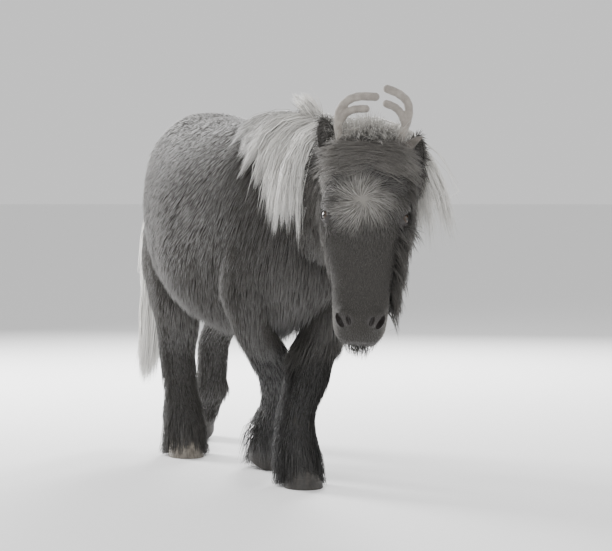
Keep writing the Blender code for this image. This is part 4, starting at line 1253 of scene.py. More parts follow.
@dataclass
class Lie:
    """The coat's direction, length and lift everywhere, from the posts and the forehead's whorl."""

    head: HeadSpace
    whorl: Point = (-0.011, -0.030, 0.158)
    whorl_reach: float = 0.088

    def __post_init__(self) -> None:
        """Lays out the posts of both sides in the pony's coordinates."""
        rows = []
        for side in Side:
            mirror = np.array((side.value, 1.0, 1.0))
            for post in BODY_POSTS:
                rows.append((post.place * mirror, post.way * mirror, post.length, post.lift))
            for post in HEAD_POSTS:
                place = np.array(self.head.point(*(post.place * mirror)))
                rows.append((place, self.head.world(post.way * mirror), post.length, post.lift))
        self.posts = rows

    def at(self, points: Array, normals: Array) -> tuple[Array, Array, Array]:
        """Reads the lie at many roots.

        Args:
            points: the roots, N by 3.
            normals: the skin's normals there.

        Returns:
            Unit directions along the skin, lengths in metres and lifts in radians.
        """
        ways = np.zeros_like(points)
        lengths, lifts, total = (np.zeros(len(points)) for _ in range(3))
        for place, way, length, lift in self.posts:
            weight = (((points - place) ** 2).sum(axis=1) + 0.0004) ** -2.2
            ways += weight[:, None] * unit(np.array(way))
            lengths += weight * length
            lifts += weight * lift
            total += weight
        on_legs = ramp(0.46, 0.38, points[:, 2])[:, None] * (1 - head_share(points))[:, None]
        down = unit(leg_axis(points - 0.02 * UP) - leg_axis(points) - 0.02 * UP)
        ways = unit(unit(ways) * (1 - on_legs) + down * on_legs)
        lengths, lifts = lengths / total, np.radians(lifts / total)
        face = self.head.local(points)
        from_whorl = face - np.array(self.whorl)
        from_whorl[:, 1] = 0.0
        far = np.linalg.norm(from_whorl, axis=1)
        swirl = np.stack((-from_whorl[:, 2], from_whorl[:, 1], from_whorl[:, 0]), axis=1) * 0.35
        radial = self.head.world(unit(from_whorl + swirl))
        share = np.exp(-(far / self.whorl_reach) ** 4) * (face[:, 1] < 0.06) * head_share(points)
        ways = unit(ways * (1 - share)[:, None] + radial * share[:, None])
        lengths = lengths * (1 - share) + 0.026 * share
        ways += 0.10 * ripple(points, 0.06, 11) + 0.05 * ripple(points, 0.018, 12)
        ways -= normals * (ways * normals).sum(axis=1, keepdims=True)
        return unit(ways), lengths, lifts


# Tufts.


@dataclass
class Roots:
    """Places on the skin where tufts grow."""

    points: Array
    normals: Array

    def __len__(self) -> int:
        """How many roots there are."""
        return len(self.points)

    def where(self, chosen: Array) -> Roots:
        """The roots that a mask chooses."""
        return Roots(self.points[chosen], self.normals[chosen])


class Ground:
    """The skin as arrays, for scattering roots and for keeping long hair clear of it."""

    def __init__(self, skin: Object, shape: Skin) -> None:
        """Reads the skin's triangles and the places of its eyes.

        Args:
            skin: the finished mesh.
            shape: where its eyes are.
        """
        self.eyes = [shape.eye_frame(side) for side in Side]
        mesh = skin.data
        mesh.calc_loop_triangles()
        corners = np.empty(len(mesh.loop_triangles) * 3, np.int32)
        mesh.loop_triangles.foreach_get("vertices", corners)
        self.corners = corners.reshape(-1, 3)
        self.points, self.normals = mesh_arrays(skin)
        self.tree = surface_tree(skin)
        a, b, c = (self.points[self.corners[:, i]] for i in range(3))
        self.areas = np.linalg.norm(np.cross(b - a, c - a), axis=1) / 2
        self.middles = (a + b + c) / 3
        self.facings = unit(np.cross(b - a, c - a))

    def scatter(self, density: Array, seed: int) -> Roots:
        """Spreads roots evenly over the triangles.

        Args:
            density: roots to a square metre for each triangle.
            seed: which scatter.

        Returns:
            The roots.
        """
        rng = np.random.default_rng(seed)
        upto = np.cumsum(self.areas * density)
        marks = np.arange(int(upto[-1])) + rng.uniform(0, 1, int(upto[-1]))
        hit = np.searchsorted(upto, np.minimum(marks, upto[-1] - 1e-6))
        r, q = np.sqrt(rng.uniform(size=len(hit))), rng.uniform(size=len(hit))
        shares = np.stack((1 - r, r * (1 - q), r * q), axis=1)[:, :, None]
        corner = self.corners[hit]
        normals = unit((self.normals[corner] * shares).sum(axis=1))
        return Roots((self.points[corner] * shares).sum(axis=1), normals)

    def off_eyes(self, spines: Array) -> Array:
        """Which hairs leave both eyes free.

        Args:
            spines: middle lines, N by K by 3.

        Returns:
            A mask, N.
        """
        free = np.ones(len(spines), bool)
        for middle, turn in self.eyes:
            seen = (spines - np.array(middle)) @ np.array(turn.to_3x3())
            over = (seen[:, :, 0] / 0.0215) ** 2 + (seen[:, :, 1] / 0.0155) ** 2 < 1.0
            free &= ~(over & (seen[:, :, 2] > 0.004)).any(axis=1)
        return free

    def lift_clear(self, spines: Array, clear: Array | float) -> Array:
        """Pushes the points of long hair out of the skin.

        Args:
            spines: middle lines, N by K by 3; the first point of each stays.
            clear: how far from the skin each hair keeps.

        Returns:
            The moved lines.
        """
        moved = spines.copy()
        clear = np.broadcast_to(clear, len(spines))
        for n in range(len(spines)):
            for k in range(1, spines.shape[1]):
                point = Vector(spines[n, k])
                near, normal = self.tree.find_nearest(point)[:2]
                height = (point - near).dot(normal)
                if height < clear[n]:
                    moved[n, k] = near + normal * clear[n]
        return moved


class Limits:
    """The room that the hair may fill: the solids' box with a small margin, and nothing under the floor."""

    low = np.array((-1.0, -1.0, 0.004))
    high = np.array((1.0, 1.5, 2.0))

    @classmethod
    def measure(cls, shift: Vector, margin: float = 0.018) -> None:
        """Reads the room from the frame.

        Args:
            shift: how far the frame's origin lies from the pony's own.
            margin: how far a hair may pass the solids.
        """
        low, high = (np.array(corner) - np.array(shift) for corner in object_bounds())
        cls.low = np.append(low[:2] - margin, 0.004)
        cls.high = high + margin

    @classmethod
    def kept(cls, spines: Array) -> Array:
        """Middle lines, held inside the room."""
        return np.clip(spines, cls.low, cls.high)


@dataclass
class Tufts:
    """Many tapering three-sided tufts along middle lines, made one mesh at a time."""

    spines: Array
    normals: Array
    width: Array
    thick: Array
    tone: Array
    pale: Array
    chart: Array
    patch: float = 0.003

    @property
    def triangles(self) -> int:
        """How many triangles the tufts have in all."""
        return len(self.spines) * ((self.spines.shape[1] - 2) * 6 + 4)

    def sections(self) -> tuple[Array, Array]:
        """The points round every middle line and how far along it they are.

        Returns:
            Points, N by V by 3, and shares, V.
        """
        count, rings, _ = self.spines.shape
        self.spines = Limits.kept(self.spines)
        along = unit(np.gradient(self.spines, axis=1))
        across = unit(np.cross(along, self.normals[:, None, :]))
        rise = np.cross(across, along)
        t = np.linspace(0.0, 1.0, rings)
        size = np.clip(1.15 * (1 - t**2.2), 0.0, 1.0) * (0.6 + 0.4 * np.minimum(t * 4, 1.0))
        half = across * (self.width / 2)[:, None, None] * size[None, :, None]
        top = rise * self.thick[:, None, None] * size[None, :, None]
        body = self.spines[:, :-1]
        three = np.stack((body + half[:, :-1], body + top[:, :-1], body - half[:, :-1]), axis=2)
        points = np.concatenate((three.reshape(count, -1, 3), self.spines[:, -1:]), axis=1)
        return points, np.append(np.repeat(t[:-1], 3), 1.0)

    def pattern(self) -> Array:
        """The triangles of one tuft, with their corners facing outwards.

        Returns:
            Numbers of corners, M by 3.
        """
        rings = self.spines.shape[1] - 1
        faces = [(0, 1, 2)]
        for j in range(rings):
            for i in range(3):
                here, other = 3 * j + i, 3 * j + (i + 1) % 3
                if j == rings - 1:
                    faces.append((other, here, 3 * rings))
                else:
                    faces += [(other, here, here + 3), (other, here + 3, other + 3)]
        return np.array(faces, np.int32)

    def build(self, name: str) -> Object:
        """Makes the tufts one mesh.

        Args:
            name: the piece's name.

        Returns:
            The piece, with its tones and its OFBake map.
        """
        points, shares = self.sections()
        count, size, _ = points.shape
        pattern = self.pattern()
        corners = (pattern[None] + (np.arange(count, dtype=np.int32) * size)[:, None, None]).ravel()
        mesh = bpy.data.meshes.new(name)
        mesh.vertices.add(count * size)
        mesh.vertices.foreach_set("co", points.astype(np.float32).ravel())
        mesh.loops.add(len(corners))
        mesh.loops.foreach_set("vertex_index", corners)
        mesh.polygons.add(len(corners) // 3)
        mesh.polygons.foreach_set("loop_start", np.arange(0, len(corners), 3, dtype=np.int32))
        mesh.polygons.foreach_set("use_smooth", np.ones(len(corners) // 3, bool))
        mesh.update(calc_edges=True)
        for key, values in (("tone", np.repeat(self.tone, size)), ("pale", np.repeat(self.pale, size)),
                            ("along", np.tile(shares, count))):
            mesh.attributes.new(key, "FLOAT", "POINT").data.foreach_set("value", values.astype(np.float32))
        side = np.append(np.tile((-0.5, 0.0, 0.5), self.spines.shape[1] - 1), 0.0)
        spots = self.chart[:, None, :] + np.stack((side, shares), axis=1)[None] * self.patch
        layer = mesh.uv_layers.new(name="OFBake")
        layer.data.foreach_set("uv", spots.reshape(-1, 2)[corners].astype(np.float32).ravel())
        obj = bpy.data.objects.new(name, mesh)
        bpy.context.scene.collection.objects.link(obj)
        return obj


class Unwrap(Enum):
    """How a stretch of skin is laid flat for the coat's map: round which axis, and along which."""

    BARREL = ((0.0, 0.0, 0.70), 0, 2, 1)
    LEG = ((0.0, 0.0, 0.0), 0, 1, 2)
    FACE = ((0.0, 0.09, 0.0), 0, 1, 2)

    def lay(self, points: Array, margin: float = 0.004) -> Array:
        """Unwraps roots round the axis.

        Args:
            points: the roots; on the head in head coordinates, on a leg from its own axis.
            margin: what stays free at the map's edge.

        Returns:
            Their places on the map, N by 2.
        """
        middle, first, second, along = self.value
        gap = points - np.array(middle)
        angle = np.arctan2(gap[:, first], gap[:, second])
        flat = np.stack((angle, points[:, along]), axis=1)
        low, high = flat.min(axis=0), flat.max(axis=0)
        return margin + (flat - low) / np.maximum(high - low, 1e-6) * (1 - 2 * margin)


def bent_spines(
    roots: Roots, ways: Array, lengths: Array, lifts: Array, droop: Array | float,
    rings: int, sink: float = 0.002,
) -> Array:
    """Middle lines that leave the skin at an angle and bend over along the lie.

    Args:
        roots: where they grow.
        ways: unit directions along the skin.
        lengths: their lengths.
        lifts: the angles at which they leave the skin.
        droop: how far they bend downwards.
        rings: points in each line.
        sink: how deep they start.

    Returns:
        The lines, N by rings by 3.
    """
    out = ways * np.cos(lifts)[:, None] + roots.normals * np.sin(lifts)[:, None]
    over = unit(ways + roots.normals * 0.10 - UP * np.broadcast_to(droop, len(roots))[:, None])
    start = roots.points - roots.normals * sink
    middle = roots.points + out * (lengths * 0.5)[:, None]
    tip = middle + over * (lengths * 0.5)[:, None]
    t = np.linspace(0.0, 1.0, rings)[None, :, None]
    return (1 - t) ** 2 * start[:, None] + 2 * t * (1 - t) * middle[:, None] + t**2 * tip[:, None]


def gathered(spines: Array, every: int, pull: float, rng: np.random.Generator) -> Array:
    """Draws the tips of neighbouring tufts together to clumps.

    Args:
        spines: middle lines, N by K by 3.
        every: how many tufts share a clump.
        pull: how far their tips close up.
        rng: the source of chance.

    Returns:
        The gathered lines.
    """
    leaders = rng.choice(len(spines), max(1, len(spines) // every), replace=False)
    tree = KDTree(len(leaders))
    for k, n in enumerate(leaders):
        tree.insert(spines[n, 0], k)
    tree.balance()
    nearest = np.array([tree.find(root)[1] for root in spines[:, 0]])
    toward = spines[leaders[nearest], -1] - spines[:, -1]
    t = np.linspace(0.0, 1.0, spines.shape[1])
    return spines + toward[:, None, :] * (pull * t**1.6)[None, :, None]


@dataclass
class Coat:
    """The short and middling coat of body, legs and head."""

    head: HeadSpace
    lie: Lie
    markings: Markings
    body_density: float = 28_500.0
    leg_density: float = 33_000.0
    head_density: float = 70_000.0

    def densities(self, ground: Ground) -> dict[str, Array]:
        """Roots to a square metre for each part of the coat and each triangle of the skin.

        Args:
            ground: the skin.

        Returns:
            The densities by part.
        """
        where = ground.middles
        on_head = head_share(where)
        legs = ramp(0.42, 0.38, where[:, 2]) * (on_head < 0.5)
        face = self.head.local(where)
        fine = ramp(0.12, 0.05, face[:, 1])
        near_hoof = 1 + 0.5 * ramp(0.14, 0.07, where[:, 2])
        return {
            "body": self.body_density * (1 - legs) * (1 - on_head),
            "leg": self.leg_density * legs * (where[:, 2] > 0.050) * near_hoof,
            "head": self.head_density * on_head * (0.55 + 0.65 * fine),
        }

    def tufts(self, ground: Ground, roots: Roots, kind: str, seed: int) -> Tufts:
        """Shapes the tufts of one part of the coat.

        Args:
            ground: the skin.
            roots: where they grow.
            kind: body, leg or head.
            seed: which variation.

        Returns:
            The tufts.
        """
        rng = np.random.default_rng(seed)
        points, normals = roots.points, roots.normals
        ways, lengths, lifts = self.lie.at(points, normals)
        lengths = lengths * rng.uniform(0.75, 1.25, len(roots)) * (1 + 0.10 * ripple(points, 0.06, 21)[:, 0])
        if kind == "body":
            lengths, lifts = lengths * 1.14, lifts * 0.60
        under = np.clip(-normals[:, 2], 0, 1)
        droop = 0.25 + 0.8 * under if kind == "body" else np.full(len(roots), 0.12)
        if kind == "leg":
            feather = ramp(-0.1, 0.7, normals[:, 1]) * ramp(0.36, 0.22, points[:, 2])
            over_hoof = self.over_hoof(points)
            lengths = lengths * (1 + 1.0 * feather) * (1 + 0.50 * over_hoof)
            lifts = lifts + 0.12 * feather + 0.30 * over_hoof
            droop = droop + 0.4 * feather + 0.5 * over_hoof
        lifts = lifts * rng.uniform(0.6, 1.4, len(roots))
        spines = bent_spines(roots, ways, lengths, lifts, droop, 3)
        spines = gathered(spines, 8, 0.12, rng)
        if kind == "head":
            free = ground.off_eyes(spines)
            spines, lengths, roots = spines[free], lengths[free], roots.where(free)
            points, normals = roots.points, roots.normals
        wide = {"body": 0.0026, "leg": 0.0026, "head": 0.0015}[kind] * rng.uniform(0.7, 1.3, len(roots))
        wide = wide * np.clip((lengths / 0.02), 0.6, 1.6) if kind == "head" else wide
        return Tufts(
            spines, normals, wide, wide * 0.45,
            self.markings.shade(points) + rng.normal(0, 0.15, len(roots)),
            self.markings.pale(points) * rng.uniform(0.45, 1.15, len(roots)),
            self.chart(points, kind),
        )

    @staticmethod
    def over_hoof(points: Array) -> Array:
        """How close the roots are to a coronet, from 0 to 1.

        Args:
            points: the roots, N by 3.

        Returns:
            One number for each.
        """
        middles = np.array([place for place, _ in HOOF_PLACES.values()])
        gaps = np.linalg.norm(points[:, None] - middles[None], axis=2).min(axis=1)
        return ramp(0.100, 0.060, gaps)

    def chart(self, points: Array, kind: str) -> Array:
        """Where the roots lie on the skin's unwrap.

        Args:
            points: the roots, N by 3.
            kind: body, leg or head.

        Returns:
            Their places on the map, N by 2.
        """
        if kind == "head":
            return Unwrap.FACE.lay(self.head.local(points))
        if kind == "body":
            return Unwrap.BARREL.lay(points)
        return Unwrap.LEG.lay(points - leg_axis(points))

    def pieces(self, roots: Roots, kind: str) -> dict[str, Roots]:
        """Parts the roots so that every piece stays small.

        Args:
            roots: those of one part of the coat.
            kind: body, leg or head.

        Returns:
            The roots of each piece by its name.
        """
        x, y = roots.points[:, 0], roots.points[:, 1]
        if kind == "leg":
            return {"leg_" + name: roots.where(nearest_leg(roots.points) == i) for i, name in enumerate(LEGS)}
        if kind == "head":
            return {"face_" + side.label: roots.where(x * side.value > self.head.origin[0] * side.value)
                    for side in Side}
        made = {}
        for side in Side:
            for end, mask in (("fore", y < 0.24), ("hind", y >= 0.24)):
                made[f"body_{end}_{side.label}"] = roots.where(mask & (x * side.value > 0))
        return made

    def build(self, ground: Ground) -> list[Object]:
        """Grows the coat on the skin.

        Args:
            ground: the skin.

        Returns:
            The pieces of coat.
        """
        made = []
        for k, (kind, density) in enumerate(self.densities(ground).items()):
            every = ground.scatter(density * (1.0), 40 + k)
            for i, (name, roots) in enumerate(self.pieces(every, kind).items()):
                tufts = self.tufts(ground, roots, kind, 100 + 10 * k + i)
                made.append(tufts.build("coat_" + name))
                LOG.info("coat_%s: %d triangles", name, tufts.triangles)
        HairFinish("coat_hair", root=(0.044, 0.041, 0.037), tip=(0.066, 0.061, 0.055)).dress(*made)
        return made


def leg_lines() -> list[Array]:
    """The middle line of each leg, as x, y and z rows."""
    return [np.array([(side.value * x, y, z) for x, y, z, _, _ in smooth_rows(rows, 4)])
            for side, rows in LEGS.values()]


def nearest_leg(points: Array) -> Array:
    """Which leg each point belongs to.

    Args:
        points: places, N by 3.

    Returns:
        The leg's number for each.
    """
    gaps = []
    for line in leg_lines():
        x = np.interp(-points[:, 2], -line[:, 2], line[:, 0])
        y = np.interp(-points[:, 2], -line[:, 2], line[:, 1])
        gaps.append(np.hypot(points[:, 0] - x, points[:, 1] - y))
    return np.argmin(np.array(gaps), axis=0)


def leg_axis(points: Array) -> Array:
    """The middle of the nearest leg level with each point, with z at 0.

    Args:
        points: places, N by 3.

    Returns:
        The middle for each, N by 3.
    """
    legs, found = nearest_leg(points), np.zeros_like(points)
    for i, line in enumerate(leg_lines()):
        chosen = legs == i
        for axis in (0, 1):
            found[chosen, axis] = np.interp(-points[chosen, 2], -line[:, 2], line[:, axis])
    return found


Guides = tuple[tuple[Point, ...], ...]


@dataclass(frozen=True)
class Fall:
    """One fall of long hair between guide lines that run from root to tip."""

    name: str
    strands: int
    guides: Guides
    spread: float = 0.013
    shortest: float = 0.55
    wave: float = 0.004
    thin: float = 1.0
    shaded: float = 0.0
    # pale: lowered on the left fall and on the wisps as painted shade.
    pale: float = 1.0
    locks: float = 0.45


@dataclass
class Mane:
    """The mane's falls on both sides of the crest, its blown wisps and the tuft that the wind lifts."""

    falls: tuple[Fall, ...] = (
        Fall("right", 5800, (
            ((0.045, -0.322, 0.920), (-0.022, -0.320, 0.900), (-0.072, -0.322, 0.820),
             (-0.090, -0.330, 0.720), (-0.100, -0.336, 0.600)),
            ((0.018, -0.220, 0.948), (-0.045, -0.210, 0.948), (-0.108, -0.185, 0.895),
             (-0.140, -0.165, 0.830), (-0.150, -0.150, 0.770)),
            ((0.008, -0.100, 0.962), (-0.030, -0.070, 0.970), (-0.062, -0.030, 0.958), (-0.088, 0.000, 0.932),
             (-0.104, 0.020, 0.900)),
        ), shortest=0.26, wave=0.006, thin=1.6, shaded=1.1, locks=0.50),
        Fall("left", 4200, (
            ((0.064, -0.318, 0.915), (0.136, -0.380, 0.928), (0.196, -0.432, 0.850), (0.228, -0.470, 0.735),
             (0.238, -0.492, 0.590)),
            ((0.050, -0.260, 0.930), (0.112, -0.290, 0.925), (0.160, -0.320, 0.850), (0.180, -0.345, 0.740),
             (0.186, -0.360, 0.600)),
            ((0.034, -0.190, 0.945), (0.100, -0.200, 0.935), (0.150, -0.210, 0.860), (0.172, -0.215, 0.760),
             (0.178, -0.220, 0.660)),
            ((0.008, -0.060, 0.965), (0.050, -0.040, 0.968), (0.098, -0.020, 0.935), (0.135, 0.000, 0.885),
             (0.155, 0.010, 0.830)),
        # pale below 1 and shaded: painted shade on this fall.
        ), spread=0.018, shortest=0.40, wave=0.006, thin=1.4, shaded=0.7, pale=0.72, locks=0.20),
        Fall("wisps", 420, (
            ((0.064, -0.318, 0.918), (0.145, -0.395, 0.938), (0.218, -0.455, 0.868), (0.262, -0.512, 0.750),
             (0.284, -0.548, 0.640)),
            ((0.070, -0.325, 0.915), (0.140, -0.392, 0.925), (0.200, -0.450, 0.850), (0.238, -0.500, 0.740),
             (0.256, -0.530, 0.600)),
        # pale below 1: painted shade on the wisps.
        ), 0.010, 0.60, 0.008, pale=0.85, locks=0.20),
        Fall("tuft", 420, (
            ((0.030, -0.250, 0.930), (0.022, -0.250, 0.965), (0.005, -0.245, 0.990), (-0.012, -0.240, 1.010),
             (-0.030, -0.235, 1.022)),
            ((0.022, -0.215, 0.935), (0.014, -0.213, 0.970), (-0.002, -0.208, 0.995), (-0.018, -0.200, 1.015),
             (-0.040, -0.195, 1.020)),
            ((0.016, -0.180, 0.940), (0.006, -0.176, 0.975), (-0.012, -0.170, 0.995), (-0.030, -0.160, 1.008),
             (-0.050, -0.150, 1.010)),
        ), 0.010, 0.40, 0.006),
    )
    rings: int = 6
    width: float = 0.0028
    most_to_a_piece: int = 6500

    def lines(self, fall: Fall, ground: Ground, rng: np.random.Generator) -> tuple[Array, ...]:
        """Middle lines of one fall.

        Args:
            fall: its guides and sizes.
            ground: the skin that it lies on.
            rng: the source of chance.

        Returns:
            The lines, N by K by 3, how far out in the fall each lies, and how far back in it, N.
        """
        count = int(fall.strands * (1.0))
        fine = np.array([smooth_rows(guide, 8) for guide in fall.guides])
        back = ((np.arange(count) + rng.uniform(0, 1, count)) / count) ** fall.thin
        share = back * (len(fall.guides) - 1)
        low = np.minimum(share.astype(int), len(fall.guides) - 2)
        part = (share - low)[:, None, None]
        whole = fine[low] * (1 - part) + fine[low + 1] * part
        reach = rng.uniform(fall.shortest, 1.0, count) ** 0.7
        t = np.linspace(0, 1, self.rings)
        at = reach[:, None] * t[None] * (whole.shape[1] - 1)
        floor = np.minimum(at.astype(int), whole.shape[1] - 2)
        rest = (at - floor)[:, :, None]
        index = np.arange(count)[:, None]
        lines = whole[index, floor] * (1 - rest) + whole[index, floor + 1] * rest
        jitter = rng.normal(0, 1, (count, 3)) * (fall.spread, fall.spread * 1.3, fall.spread)
        lines += jitter[:, None] * (0.35 + 0.65 * t)[None, :, None]
        phase = rng.uniform(0, 6.28, (count, 1))
        wave = np.sin(phase + 7.0 * t[None] * rng.uniform(0.6, 1.5, (count, 1))) * t[None] * fall.wave
        lines += wave[:, :, None] * unit(rng.normal(0, 1, (count, 3)))[:, None]
        outer = rng.uniform(0, 1, count) ** 0.6
        return self.settle(lines, outer, ground, fall), outer, back

    def settle(self, lines: Array, outer: Array, ground: Ground, fall: Fall) -> Array:
        """Draws the inner hairs to the skin and lifts all clear of it.

        Args:
            lines: middle lines, N by K by 3.
            outer: from 0 for inner hair to 1.
            ground: the skin.
            fall: which fall they belong to.

        Returns:
            The settled lines.
        """
        settled = ground.lift_clear(lines, 0.004 + 0.018 * outer)
        if fall.name in ("wisps", "tuft"):
            return settled
        laid = lines.copy()
        for n in np.nonzero(outer < 0.75)[0]:
            for k in range(1, lines.shape[1]):
                near, normal = ground.tree.find_nearest(Vector(lines[n, k]))[:2]
                laid[n, k] = near + normal * (0.004 + 0.02 * outer[n])
        share = np.where(outer < 0.75, 0.75 - outer, 0.0)[:, None, None]
        return settled * (1 - share) + laid * share

    def build(self, ground: Ground) -> list[Object]:
        """Grows the mane.

        Args:
            ground: the skin.

        Returns:
            The pieces of mane.
        """
        made = []
        rng = np.random.default_rng(71)
        for fall in self.falls:
            lines, outer, back = self.lines(fall, ground, rng)
            lines = gathered(gathered(lines, 60, fall.locks, rng), 14, 0.50, rng)
            lines[:, 0] = self.sunk(lines[:, 0], ground)
            normals = unit(lines[:, 3] - np.array((0.02, -0.15, 0.78)))
            wide = self.width * rng.uniform(0.6, 1.35, len(lines))
            # Tone and pale share both darken the hair further back in a fall by its shaded share, as painted
            # shade; a fall's pale share below 1 is painted shade too.
            tone = 0.5 * (outer - 0.6) - fall.shaded * back + rng.normal(0, 0.28, len(lines))
            pale = np.clip(fall.pale - 0.20 * fall.shaded * back + rng.normal(0, 0.06, len(lines)), 0.0, 1.0)
            chart = Unwrap.BARREL.lay(lines[:, 0])
            for start in range(0, len(lines), self.most_to_a_piece):
                part = slice(start, start + self.most_to_a_piece)
                tufts = Tufts(
                    lines[part], normals[part], wide[part], wide[part] * 0.5,
                    tone[part], pale[part], chart[part],
                )
                made.append(tufts.build(f"mane_{fall.name}_{start // self.most_to_a_piece}"))
                LOG.info("mane %s: %d triangles", fall.name, tufts.triangles)
        HairFinish("mane_hair", root=(0.10, 0.09, 0.08), tip=(0.5, 0.48, 0.44),
                   pale_root=(0.52, 0.505, 0.475), pale_tip=(0.90, 0.885, 0.85),
                   rough=0.5, variety=0.5).dress(*made)
        return made

    @staticmethod
    def sunk(points: Array, ground: Ground) -> Array:
        """The roots' places, moved to just inside the skin.

        Args:
            points: the roots, N by 3.
            ground: the skin.

        Returns:
            The moved roots, N by 3.
        """
        made = []
        for point in points:
            near, normal = ground.tree.find_nearest(Vector(point))[:2]
            made.append(near - normal * 0.003)
        return np.array(made)


@dataclass
class Tail:
    """The dock and the long hair that hangs from it."""

    dock: tuple[Row, ...] = (
        (0.000, 0.790, 0.900, 0.036),
        (-0.008, 0.840, 0.880, 0.040),
        (-0.030, 0.885, 0.820, 0.042),
        (-0.058, 0.908, 0.730, 0.040),
        (-0.085, 0.922, 0.620, 0.034),
        (-0.100, 0.932, 0.540, 0.020),
    )
    end: Point = (-0.122, 0.962, 0.180)
    strands: int = 5000
    rings: int = 6
    width: float = 0.0032

    def core(self) -> Object:
        """The dock's fleshy core.

        Returns:
            The mesh.
        """
        rows = smooth_rows(self.dock, 4)
        rings = []
        side = Vector((1.0, 0.0, 0.0))
        for i, (x, y, z, radius) in enumerate(rows):
            along = Vector(rows[min(i + 1, len(rows) - 1)][:3]) - Vector(rows[max(i - 1, 0)][:3])
            along.normalize()
            side = (side - along * side.dot(along)).normalized()
            up = along.cross(side)
            size = radius * 0.62 * min(1.0, 0.34 + 0.08 * i) * (1.0 if i < len(rows) - 1 else 0.4)
            rings.append([Vector((x, y, z)) + (side * c + up * s) * size for c, s in oval(20)])
        obj = loft("tail_core", rings)
        obj.data.polygons.foreach_set("use_smooth", np.ones(len(obj.data.polygons), bool))
        return obj

    def lines(self, rng: np.random.Generator) -> tuple[Array, Array, Array]:
        """Middle lines of the tail's hair.

        Args:
            rng: the source of chance.

        Returns:
            The lines, the ways that they face, and how far out each lies.
        """
        count = int(self.strands * (1.0))
        rows = np.array(smooth_rows(self.dock, 8))
        share = rng.uniform(0.02, 0.96, count) ** 1.1
        at = share * (len(rows) - 1)
        low = np.minimum(at.astype(int), len(rows) - 2)
        part = (at - low)[:, None]
        seat = rows[low] * (1 - part) + rows[low + 1] * part
        angle = rng.uniform(0, 6.28, count)
        out = np.stack((np.cos(angle), np.sin(angle), np.zeros(count)), axis=1)
        high = (seat[:, 2] > 0.74) & (out[:, 1] < 0.1)
        out[high, 1] = np.abs(out[high, 1]) + 0.2
        out[:, 2] = rng.uniform(0.0, 1.4, count) * (seat[:, 2] > 0.80)
        out = unit(out)
        root = seat[:, :3] + out * (seat[:, 3:] * 0.55)
        fall = np.minimum((root[:, 2] - self.end[2]) * rng.uniform(0.72, 1.04, count), 0.46 + 0.14 * share)
        goal = np.array(self.end)[:2] + out[:, :2] * rng.uniform(0.0, 0.040, (count, 1))
        goal = goal + rng.normal(0, 0.006, (count, 2))
        t = np.linspace(0, 1, self.rings)
        lines = np.repeat(root[:, None], self.rings, axis=1)
        belly = 0.020 * np.sin(np.pi * np.minimum(t * 1.2, 1.0))
        outer = rng.uniform(0, 1, count) ** 0.6
        lines += out[:, None] * belly[None, :, None] * outer[:, None, None]
        lines[:, :, 2] -= fall[:, None] * t[None]
        pull = np.clip((root[:, 2:] - lines[:, :, 2]) / np.maximum(root[:, 2:] - self.end[2], 0.1), 0, 1)
        lines[:, :, :2] += (goal[:, None] - lines[:, :, :2]) * (pull * 0.75)[:, :, None]
        phase = rng.uniform(0, 6.28, (count, 1))
        wave = np.sin(phase + 9.0 * t[None]) * t[None] * 0.005
        lines += wave[:, :, None] * out[:, None]
        across, back, radius = (np.interp(-lines[:, :, 2], -rows[:, 2], rows[:, k]) for k in (0, 1, 3))
        clear = (lines[:, :, 0] - across) * out[:, None, 0] + (lines[:, :, 1] - back) * out[:, None, 1]
        least = radius * 0.68 + 0.006 + 0.012 * outer[:, None]
        push = np.clip(least - clear, 0.0, None) * (lines[:, :, 2] > 0.50) * (t > 0)[None]
        lines += out[:, None] * push[:, :, None]
        return lines, out, outer

    def build(self, ground: Ground) -> list[Object]:
        """Grows the tail.

        Args:
            ground: the skin.

        Returns:
            The core and the hair.
        """
        rng = np.random.default_rng(83)
        lines, out, outer = self.lines(rng)
        lines = ground.lift_clear(gathered(lines, 16, 0.5, rng), 0.004)
        wide = self.width * rng.uniform(0.6, 1.35, len(lines))
        tone = 0.4 * (outer - 0.6) + rng.normal(0, 0.22, len(lines))
        flat = np.stack((np.arctan2(out[:, 0], out[:, 1]), lines[:, 0, 2]), axis=1)
        low, high = flat.min(axis=0), flat.max(axis=0)
        chart = 0.004 + (flat - low) / (high - low) * 0.99
        tufts = Tufts(lines, out, wide, wide * 0.5, tone, np.ones(len(lines)), chart)
        hair = tufts.build("tail_hair")
        LOG.info("tail: %d triangles", tufts.triangles)
        HairFinish("tail_hair", root=(0.10, 0.09, 0.08), tip=(0.5, 0.48, 0.44),
                   pale_root=(0.46, 0.445, 0.415), pale_tip=(0.86, 0.845, 0.81),
                   rough=0.5, variety=0.5).dress(hair)
        core = self.core()
        Graph("dock").dress(core, Base_Color=(0.26, 0.25, 0.23, 1.0), Roughness=0.9)
        return [core, hair]


# Longer hair of the head.


@dataclass(frozen=True)
class Patch:
    """A stretch of the head that carries longer hair: where, how many, how long and which way."""

    name: str
    middle: Point
    radii: Point
    strands: int
    length: float
    way: Point
    lift: float
    droop: float
    pale: float = 0.0
    width: float = 0.0024
    tone: float = 0.0
    spread: float = 0.0


